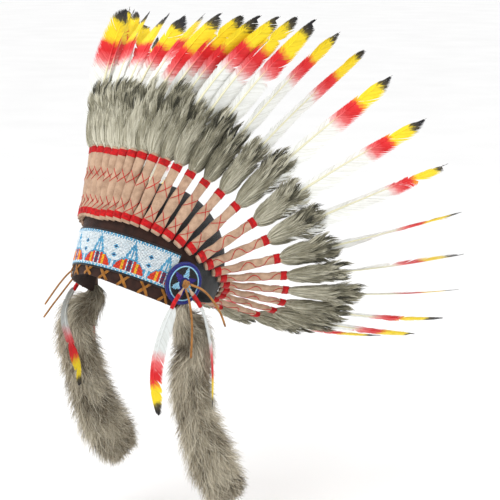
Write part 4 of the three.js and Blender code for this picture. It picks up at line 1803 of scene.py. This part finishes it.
    def model_barbs(self, rng: np.random.Generator, side: int, long_feather: bool) -> Patch:
        """Models the barbs on one side of a quill, zipped in groups that part in places.

        Args:
            rng: the source of chance for this vane.
            side: -1 for the narrow side and 1 for the wide one.
            long_feather: True for a vane whose root is loose under fluff.

        Returns:
            The barbs.
        """
        end = np.linspace(0.14 if long_feather else 0.03, 1.0, self.barbs)
        end = end + rng.normal(0, 0.0008, self.barbs)
        loose = (1 - ease(end, 0.22, 0.42)) * long_feather
        group = np.cumsum(rng.random(self.barbs) < self.new_group)
        groups = group[-1] + 1
        split = rng.random(groups) < self.parted
        shift = rng.normal(0, 0.5, groups) + split * rng.choice([-4.0, 4.0], groups)
        middle = np.bincount(group, end) / np.bincount(group)
        cling = rng.uniform(0.1, 0.6, groups) * split * self.vane_long
        blunt = self.vane_long * (1.004 - 0.05 * rng.random(groups) ** 1.5)
        length = 1 + rng.normal(0, 0.02, groups)
        half = self.half_width(end, long_feather) * length[group] * (1 + rng.normal(0, 0.02, self.barbs))
        half = half * (1 + loose * rng.normal(-0.08, 0.22, self.barbs))
        half = half * (self.narrow_side if side < 0 else self.wide_side)
        advance = 3.5 + half * (1.15 + 0.5 * ease(end, 0.8, 1.0))
        root = end * self.vane_long - advance
        t = np.array(self.BARB_STEPS)[None, :]
        across = side * half[:, None] * (0.02 + 0.98 * t ** 0.92)
        climb = advance[:, None] * (0.75 * t + 0.25 * t * t)
        drift = shift[group][:, None] * t ** 2 * (0.4 + 0.6 * half[:, None] / self.vane_half)
        drift = drift + ((middle[group] - end) * cling[group])[:, None] * t ** 3
        along = np.minimum(root[:, None] + climb + drift, blunt[group][:, None])
        cup = -1.6 * (across / self.vane_half) ** 2 + rng.normal(0, 0.12, (self.barbs, 1))
        cup = cup + (rng.normal(0, 0.3, groups) * (1 + 2 * split))[group][:, None] * t ** 2
        cup = cup + loose[:, None] * rng.normal(0, 1.6, (self.barbs, 1)) * t
        paths = np.stack([across, cup, np.maximum(along, 0.0)], -1)
        width = np.array(self.BARB_WIDTHS)[None, :] * (1 - 0.2 * loose[:, None])
        # Each barb's tone differs at random and is a little darker at its root; the vane's finish darkens
        # the white by it, partly as painted shade.
        shade = np.clip(rng.normal(0.55, 0.16, (self.barbs, 1)) + 0.15 * (t - 0.5), 0, 1)
        return ribbons(paths, width, widthways(paths, OUT), shade)

    def model_vane(self, rng: np.random.Generator, long_feather: bool = True) -> list[Patch]:
        """Models one vane: the barbs of its two sides, and a quill.

        Args:
            rng: the source of chance for this vane.
            long_feather: True for a vane whose root is loose under fluff.

        Returns:
            The barbs and the quill, third numbers from 0 at the root to vane_long at the tip.
        """
        barbs = [self.model_barbs(rng, side, long_feather) for side in (-1, 1)]
        share = np.linspace(0, 1, 18)
        size = self.quill_wide * (1 - share) ** 0.85 + self.quill_tip
        quill = tube_along(straight(share * (self.vane_long - 1.0), 0.15), size, size * 0.85, OUT, 6)
        quill.tone = np.full(len(quill.corners), 0.7)
        return [*barbs, quill]

    @staticmethod
    def tuft(share: np.ndarray) -> np.ndarray:
        """Returns the fluff's fullness along it, from the sheath at 0 to its tip at 1."""
        ats = [0, 0.05, 0.12, 0.25, 0.5, 0.75, 0.9, 1.0, 1.12]
        return np.interp(share, ats, [0.42, 0.72, 0.9, 1.0, 1.05, 1.06, 0.98, 0.82, 0.5])

    def model_fluff(self, rng: np.random.Generator) -> list[Patch]:
        """Models the fluff at the root of a vane: combed down below, spiky dark locks above.

        Args:
            rng: the source of chance for this tuft.

        Returns:
            The hairs and the spindle, third numbers along the shaft.
        """
        locks = self.fluff_locks
        lock = rng.integers(0, locks, self.hairs)
        lock_angle = rng.uniform(0, 2 * math.pi, locks)
        lock_start = rng.beta(1.0, 1.15, locks) * self.fluff_start
        spiky = ease(lock_start, 0.2, 0.6)
        lock_tone = 0.66 - 0.3 * spiky + rng.normal(0, 0.1 + 0.1 * spiky)
        lock_rise = 1.0 + rng.uniform(-0.1, 0.1, locks) + spiky * rng.uniform(-0.3, 0.42, locks)
        lock_run = rng.uniform(0.26, 0.36, locks) * (1 - 0.2 * spiky)
        lock_sway = rng.normal(0, 0.16, locks)
        angle = lock_angle[lock] + rng.normal(0, 0.3 - 0.12 * spiky[lock], self.hairs)
        start = lock_start[lock] + rng.normal(0, 0.03, self.hairs)
        start = np.clip(start, 0, self.fluff_start)
        run = lock_run[lock] * rng.uniform(0.75, 1.1, self.hairs)
        lean = lock_angle[lock] + lock_sway[lock]
        t = np.linspace(0, 1, 4)[None, :]
        share = start[:, None] + run[:, None] * t
        form = self.tuft(share)
        bind = (0.25 + 0.5 * spiky[lock])[:, None] * t
        turn = angle[:, None] * (1 - bind) + lean[:, None] * bind
        foot = (0.78 - 0.22 * spiky[lock])[:, None]
        reach = form * (foot + (lock_rise[lock][:, None] - foot) * t ** 0.9)
        reach = np.minimum(reach, self.fluff_most)
        x = np.cos(turn) * self.fluff_half * reach + rng.normal(0, 0.3, (self.hairs, 1))
        y = np.sin(turn) * self.fluff_deep * reach
        z = self.fluff_from + self.fluff_long * np.minimum(share, 1.14)
        paths = np.stack([x, y, z], -1)
        sides = widthways(paths, rng.normal(0, 0.7, (self.hairs, 3)) + about(angle))
        half = np.array(self.HAIR_WIDTHS)[None, :] * rng.uniform(0.6, 1.25, (self.hairs, 1))
        paler = spiky[lock][:, None] * 0.34 * t ** 3
        tone = lock_tone[lock][:, None] + rng.normal(0, 0.08, (self.hairs, 1)) + paler - 0.05 * t
        return [ribbons(paths, half, sides, np.clip(tone, 0, 1)), self.model_spindle()]

    def model_spindle(self) -> Patch:
        """Models the closed spindle that keeps the fluff from being seen through."""
        share = np.linspace(0, 1, 13)
        spine = straight(self.fluff_from + 1 + share * self.fluff_long * 0.9)
        taper = np.interp(share, [0, 0.7, 1], [0.84, 0.7, 0.2])
        wide = 2 * self.fluff_half * self.tuft(share) * taper
        deep = 2 * self.fluff_deep * self.tuft(share) * taper
        spindle = tube_along(spine, wide, deep, OUT, 10)
        spindle.tone = np.repeat(np.interp(share, [0, 0.3, 0.6], [0.6, 0.48, 0.28]), 10)
        return spindle


@dataclass
class FeatherFinishes:
    """The materials that all feathers share."""

    felt: Cloth = Cloth(
        "sheath felt", (150, 118, 96), (200, 168, 142), 120, 1500, 0.0008, 0.6, 0.95, 0.12
    )
    thread: Thread = Thread("red thread", (132, 2, 8), (214, 8, 16))
    vane: DyedVane = DyedVane("dyed vane")
    quill: DyedVane = DyedVane("quill", bare=(226, 222, 190))
    fluff: Hair = Hair(
        "taupe fluff", ((58, 57, 44), (104, 101, 82), (154, 149, 126), (206, 202, 182))
    )

    def __post_init__(self) -> None:
        """Lays out the materials once, in the order of the finish numbers."""
        finishes = (self.felt, self.thread, self.vane, self.quill, self.fluff)
        self.all = [finish.material() for finish in finishes]


@dataclass
class Headfeathers:
    """All the feathers of the row, each one piece."""

    row: FeatherRow
    kit: FeatherKit
    finishes: FeatherFinishes
    wavy_from: int = 11
    seed: int = 21

    @staticmethod
    def turned(number: int) -> float:
        """Returns how many degrees a vane is usually turned about its shaft at its tip."""
        numbers = [-18, -16, -15, -12, -8, -6, -4, -3, -2, 4, 6, 8, 10, 12, 14, 15, 16, 18]
        turns = [6, 12, 70, 68, 72, 72, 58, 52, 24, 24, 14, 18, 34, 60, 70, -47, 12, 8]
        return float(np.interp(number, numbers, turns))

    def build_one(self, number: int, rng: np.random.Generator) -> bpy.types.Object:
        """Lays the masters along one feather.

        Args:
            number: the feather's number from the middle of the brow.
            rng: the source of chance for this feather.

        Returns:
            The feather.
        """
        label = f"feather_{number + self.row.each_side + 1:02d}"
        loom = Loom(f"dressed_{label}", "feather")
        kit, lay = self.kit, self.row.lay
        stitch = Stitch.CROSSED if abs(number) < self.wavy_from else Stitch.WAVY
        loom.add(kit.sheath.moved(lay(number, kit.sheath.corners, SHEATH_LAP)), Finish.FELT)
        for part in (*kit.wraps, *kit.threads[stitch]):
            loom.add(part.moved(lay(number, part.corners, SHEATH_LAP)), Finish.THREAD)
        length = self.row.shafts[number].length - kit.vane_from
        stretch = length / kit.vane_long
        mirror = 1 if number >= 0 else -1
        reach = rng.uniform(0.84, 1.16)
        dip = rng.normal(0, 5.0)
        curl = rng.normal(0, 5.0)
        twist = math.radians(rng.choice([-1, 1]) * rng.uniform(0.8, 1.2) * self.turned(number))
        vane = kit.vanes[rng.integers(kit.variants)]
        for part, finish in zip(vane, (Finish.VANE, Finish.VANE, Finish.QUILL)):
            local = part.corners * np.array([mirror, 1.0, stretch])
            share = local[:, 2] / length
            local[:, 0] += curl * np.maximum(share - 0.4, 0) ** 2 * 2.0
            local[:, 2] += kit.vane_from
            placed = lay(number, local, VANE_LAP, twist)
            from_tip = (1 - share) * length * reach + dip
            loom.add(Patch(placed, part.faces_if(mirror < 0), tone=part.tone, dye=from_tip), finish)
        fluff = kit.fluffs[rng.integers(kit.variants)]
        darker = rng.normal(0, 0.08)
        longer = rng.uniform(0.88, 1.12)
        for part in fluff:
            local = part.corners * np.array([mirror, 1.0, longer])
            local[:, 2] += kit.fluff_from * (1 - longer)
            placed = lay(number, local, FLUFF_LAP)
            tone = np.clip(part.tone + darker, 0, 1)
            loom.add(Patch(placed, part.faces_if(mirror < 0), tone=tone), Finish.FLUFF)
        return loom.weave(self.finishes.all, [label])

    def build(self) -> list[bpy.types.Object]:
        """Builds every feather, from the wearer's right round to the left."""
        rng = np.random.default_rng(self.seed)
        numbers = range(-self.row.each_side, self.row.each_side + 1)
        return [self.build_one(number, rng) for number in numbers]


@dataclass
class PendantFeather:
    """A small dyed feather on a red-wrapped sheath that hangs from a knot."""

    name: str
    side: int
    points: tuple
    kit: FeatherKit
    finishes: FeatherFinishes
    vane: bpy.types.Material
    turn: float = 0.0
    long: float = 166.0
    wide: float = 17.5
    sheath: float = 5.5
    vane_from: float = 0.17
    wraps: int = 17

    def lay(self, curve: Curve, local: np.ndarray) -> np.ndarray:
        """Lays straight points along the hanging curve."""
        share = local[:, 2] / curve.length
        tangent, face = curve.frames(share, self.side)
        across = np.cross(face, tangent)
        return curve.at(share) + across * local[:, :1] + face * local[:, 1:2]

    def build(self) -> bpy.types.Object:
        """Builds the tie, the wrapped sheath and the vane."""
        curve = Curve(hanging(self.side, self.points))
        long = min(self.long, curve.length)
        loom = Loom(f"dressed_{self.name}", "pendant_feather")
        share = np.linspace(0, 1, 14)
        size = np.interp(share, [0, 0.3, 0.75, 1], [0.4, 0.45, 0.95, 0.9]) * self.sheath
        neck = tube_along(straight(share * 0.075 * long), size, size * 0.8, OUT, 10)
        loom.add(neck.moved(self.lay(curve, neck.corners)), Finish.FELT)
        turns = np.arange(2 * self.wraps)
        share = np.linspace(0, 1, len(turns))
        size = np.where(turns % 2, 1.06, 0.96) * self.sheath
        size[[0, -1]] *= 0.75
        wrap = tube_along(straight((0.065 + 0.12 * share) * long), size, size * 0.8, OUT, 10)
        loom.add(wrap.moved(self.lay(curve, wrap.corners)), Finish.THREAD)
        start, run = self.vane_from * long, (1 - self.vane_from) * long
        stretch = np.array([self.wide / (2 * self.kit.vane_half), 0.6, run / self.kit.vane_long])
        for part in self.kit.small_vanes[int(self.name[-1]) - 1]:
            local = part.corners * stretch
            from_tip = run - local[:, 2]
            aside, proud = local[:, 0].copy(), local[:, 1].copy()
            local[:, 0] = aside * math.cos(self.turn) - proud * math.sin(self.turn)
            local[:, 1] = aside * math.sin(self.turn) + proud * math.cos(self.turn)
            local[:, 2] += start
            placed = self.lay(curve, local)
            loom.add(Patch(placed, part.faces, tone=part.tone, dye=from_tip), Finish.VANE)
        return loom.weave([*self.finishes.all[: Finish.VANE], self.vane], [self.name])


# Fur tails


@dataclass
class FurTail:
    """A fur tail on its hide tab, hanging behind a rosette."""

    name: str
    side: int
    route: tuple
    long: float = 250.0
    wide: float = 54.0
    thick: float = 38.0
    tab_wide: float = 16.0
    tab_wall: float = 3.0
    locks: int = 2000
    hairs_each: int = 15
    root_end: float = 0.95
    clump: float = 0.75
    strays: float = 0.38
    foot: float = 0.6
    seed: int = 31

    OUTLINE = (
        (0, 0.3), (0.05, 0.46), (0.14, 0.7), (0.33, 0.78), (0.57, 0.8),
        (0.79, 0.92), (0.94, 0.84), (1, 0.5),
    )
    HAIR_STEPS = (0.0, 0.35, 0.7, 1.0)
    HAIR_WIDTHS = (0.5, 0.5, 0.3, 0.0)

    def tab_point(self, degrees: float, rise: float) -> tuple[np.ndarray, np.ndarray]:
        """Returns the middle of the tab at a place on the wall, and its outward direction."""
        at = self.side * degrees
        normal = HEAD.outward(at, rise)
        return HEAD.on_wall(at, rise, HEAD.brow_out) + normal * (HEAD.fit + self.tab_wall / 2), normal

    def curve(self) -> Curve:
        """Returns the line that the tail hangs along."""
        start, _ = self.tab_point(90.0, -62.0)
        first, _ = self.tab_point(87.0, -48.0)
        rows = [list(first)] + [
            [start[0] + self.side * o * self.long, start[1] + b * self.long, start[2] - d * self.long]
            for o, b, d in self.route
        ]
        return Curve(np.array(rows))

    def sections(self, curve: Curve, share: np.ndarray) -> tuple:
        """Returns points, directions, outward and backward directions and sizes along the tail."""
        tangent, out = curve.frames(share, self.side)
        size = np.interp(share, *zip(*self.OUTLINE))
        return curve.at(share), tangent, out, np.cross(out, tangent), size

    def tab(self) -> Patch:
        """Models the hide tab that lies on the wall behind the rosette."""
        rows = [self.tab_point(78 + step * 12, -(14 + step * 48)) for step in np.linspace(0, 1, 5)]
        path, hint = (np.array(part) for part in zip(*rows))
        return tube_along(path, self.tab_wide, self.tab_wall, hint, 12)

    def body(self, curve: Curve) -> Patch:
        """Models the closed body under the coat."""
        share = np.linspace(0, self.root_end, 26)
        point, _, out, _, size = self.sections(curve, share)
        size = size * np.interp(share, [0, 0.05, 0.85, self.root_end], [0.6, 0.72, 0.66, 0.3])
        body = tube_along(point, self.wide * size, self.thick * size, out, 14)
        body.tone = np.full(len(body.corners), 0.35)
        return body

    def coat(self, curve: Curve) -> Patch:
        """Models the hairs, which cling together in locks, some of them straying.

        Args:
            curve: the line that the tail hangs along.

        Returns:
            All hairs.
        """
        rng = np.random.default_rng(self.seed + self.side)
        count = self.locks * self.hairs_each
        lock = np.repeat(np.arange(self.locks), self.hairs_each)
        lock_share = rng.uniform(0.0, self.root_end, self.locks)
        lock_angle = rng.uniform(0, 2 * math.pi, self.locks)
        patchy = 0.17 * np.sin(lock_share * 23 + 2.6 * np.cos(lock_angle) + self.side)
        lock_tone = rng.normal(0.56, 0.19, self.locks) + patchy
        lock_sway = rng.normal(0, 0.5, self.locks)
        lock_rise = rng.uniform(0.72, 1.3, self.locks)
        stray = (rng.random(count) < self.strays) * rng.uniform(0.3, 1.0, count)
        root = np.clip(lock_share[lock] + rng.normal(0, 0.009 + 0.02 * stray), 0, 0.955)
        angle = lock_angle[lock] + rng.normal(0, 0.13 + 0.3 * stray)
        run = rng.uniform(0.07, 0.115, count) * np.interp(root, [0, 0.1, 0.85, 1], [0.75, 1, 1, 0.45])
        root_size = np.interp(root, *zip(*self.OUTLINE))
        rise = lock_rise[lock] + 0.72 * stray
        paths = []
        for t in self.HAIR_STEPS:
            share = root + run * t
            pinch = self.clump * t
            turn = angle * (1 - pinch) + lock_angle[lock] * pinch + lock_sway[lock] * t
            over = np.maximum(share - 1, 0)[:, None]
            point, tangent, out, back, size = self.sections(curve, np.minimum(share, 1))
            lift = self.foot + (rise - self.foot) * t ** 0.9
            reach = lift * np.maximum(size, root_size * 0.8)
            paths.append(
                point + tangent * over * curve.length
                + out * (np.cos(turn) * reach * self.thick / 2)[:, None]
                + back * (np.sin(turn) * reach * self.wide / 2)[:, None]
            )
        paths = np.stack(paths, 1) + rng.normal(0, 0.35, (count, 1, 3))
        sides = widthways(paths, rng.normal(0, 1, (count, 3)))
        half = np.array(self.HAIR_WIDTHS)[None, :] * rng.uniform(0.55, 1.15, (count, 1))
        half = half * (1 - 0.4 * stray)[:, None]
        t = np.array(self.HAIR_STEPS)[None, :]
        tone = lock_tone[lock][:, None] + rng.normal(0, 0.09, (count, 1)) - 0.08 + 0.3 * t - 0.34 * t ** 4
        return ribbons(paths, half, sides, np.clip(tone, 0, 1))

    def build(self) -> bpy.types.Object:
        """Builds the tab, the body and the coat of hairs in locks."""
        curve = self.curve()
        loom = Loom(self.name.replace("fur_tail", "coat_tail"), "fur")
        loom.add(self.tab(), 1)
        loom.add(self.body(curve), 0)
        loom.add(self.coat(curve), 0)
        shades = ((62, 53, 42), (112, 101, 83), (172, 161, 138), (220, 212, 192))
        fur = Hair("tail fur", shades, 0.3)
        hide = Cloth("tail hide", (60, 44, 34), (112, 86, 66))
        return loom.weave([fur.material(), hide.material()], [self.name])


TAILS = (
    (
        "fur_tail_left", 1,
        (
            (0, 0, 0), (0.01, 0.07, 0.13), (0.01, 0.04, 0.34),
            (0.01, 0.09, 0.54), (0.02, 0.17, 0.74), (0.03, 0.3, 0.97),
        ),
    ),
    (
        "fur_tail_right", -1,
        (
            (0, 0, 0), (0.05, -0.08, 0.11), (0.04, -0.05, 0.33),
            (0.03, 0.03, 0.58), (0.02, 0.12, 0.74), (0, 0.2, 0.84),
        ),
    ),
)


# Studio


@dataclass
class Studio:
    """Camera, lights and floor."""

    azimuth: float = 42.1
    elevation: float = 10.8
    distance: float = 2.096
    aim_right: float = 0.119
    aim_up: float = 0.0105
    scale: float = 814.0
    frame_px: float = 500.0
    sensor: float = 36.0
    lamp_distance: float = 2.2
    floor_at: float = -0.36

    LAMPS = (("key", 5, 52, 1.0, 17), ("fill", 105, 25, 2.0, 3), ("top", 210, 70, 2.0, 4))

    @staticmethod
    def axes(azimuth: float, elevation: float) -> tuple[np.ndarray, np.ndarray, np.ndarray]:
        """Returns the directions to the right, up and back of what looks from an angle."""
        a, e = math.radians(azimuth), math.radians(elevation)
        right = np.array([math.cos(a), math.sin(a), 0])
        up = np.array([-math.sin(a) * math.sin(e), math.cos(a) * math.sin(e), math.cos(e)])
        back = np.array([math.sin(a) * math.cos(e), -math.cos(a) * math.cos(e), math.sin(e)])
        return right, up, back

    @staticmethod
    def stand(name: str, data: bpy.types.ID, place: Vector, back: Vector) -> bpy.types.Object:
        """Adds a camera or a light that looks straight ahead.

        Args:
            name: name of the object.
            data: its camera or light data.
            place: where it stands.
            back: direction behind its back.

        Returns:
            The object.
        """
        thing = bpy.data.objects.new(name, data)
        bpy.context.scene.collection.objects.link(thing)
        thing.location = place
        thing.rotation_mode = "QUATERNION"
        thing.rotation_quaternion = (-back).to_track_quat("-Z", "Y")
        return thing

    def camera(self) -> None:
        """Sets the camera at the photograph's angle and distance."""
        right, up, back = self.axes(self.azimuth, self.elevation)
        aim = right * self.aim_right + up * self.aim_up
        data = bpy.data.cameras.new("camera")
        data.sensor_width = self.sensor
        data.lens = self.sensor * self.distance * self.scale / self.frame_px
        place = Vector(aim + back * self.distance)
        bpy.context.scene.camera = self.stand("camera", data, place, Vector(back))

    def lamp(self, name: str, azimuth: float, elevation: float, size: float, watts: float) -> None:
        """Adds a soft square light that looks at the headdress.

        Args:
            name: name of the light.
            azimuth: degrees round, as the camera's.
            elevation: degrees up.
            size: side of its surface in metres.
            watts: its power.
        """
        back = Vector(self.axes(azimuth, elevation)[2])
        data = bpy.data.lights.new(name, "AREA")
        data.size = size
        data.energy = watts
        self.stand(name, data, Vector((0, 0.1, 0.05)) + back * self.lamp_distance, back)

    @staticmethod
    def sky() -> None:
        """Lights everything evenly from all sides."""
        world = bpy.data.worlds.new("studio")
        world.use_nodes = True
        sky = world.node_tree.nodes["Background"]
        sky.inputs["Color"].default_value = (1, 1, 1, 1)
        sky.inputs["Strength"].default_value = 1.0
        bpy.context.scene.world = world
        bpy.context.scene.view_settings.view_transform = "Standard"

    def ground(self) -> None:
        """Lays the white floor."""
        Bench.clear()
        bpy.ops.mesh.primitive_plane_add(size=60, location=(0, 0, self.floor_at))
        bpy.ops.object.transform_apply(location=True, rotation=False, scale=False)
        floor = bpy.context.object
        floor.name = "floor"
        sheet = NodeSheet("floor")
        mottle = sheet.noise(sheet.place(), 3, 2, 0.5)
        sheet.paint(sheet.ramp(mottle, [(0.3, (250, 250, 250)), (0.7, (255, 255, 255))]))
        sheet.surface(Roughness=0.9)
        floor.data.materials.append(sheet.material)

    def build(self) -> None:
        """Builds the whole studio."""
        self.camera()
        for lamp in self.LAMPS:
            self.lamp(*lamp)
        self.sky()
        self.ground()


# The whole headdress


def main() -> None:
    """Builds the classes in order."""
    logging.basicConfig(level=logging.INFO, format="%(message)s")
    Studio().build()
    for name, side, points in THONGS:
        Thong(name, side, points).build()
    for name, side in (("suede_knot_left", 1), ("suede_knot_right", -1)):
        Knot(name, side).build()
    FeltCap().build()
    band = BrowBand()
    band.build()
    EdgeLacing().build(band)
    BeadedBand().build()
    for name, side in (("beaded_rosette_left", 1), ("beaded_rosette_right", -1)):
        Rosette(name, side).build()
    kit = FeatherKit()
    finishes = FeatherFinishes()
    Headfeathers(FeatherRow(), kit, finishes).build()
    # The pendant vane's undyed part is a greyer white than the head feathers' white: painted shade.
    small_vane = DyedVane("pendant vane", 15.0, 41.0, 70.0, (218, 222, 220)).material()
    for name, side, turn, points in PENDANTS:
        PendantFeather(name, side, points, kit, finishes, small_vane, math.radians(turn)).build()
    for name, side, route in TAILS:
        FurTail(name, side, route).build()
    bpy.context.view_layer.update()


if __name__ == "__main__":
    main()
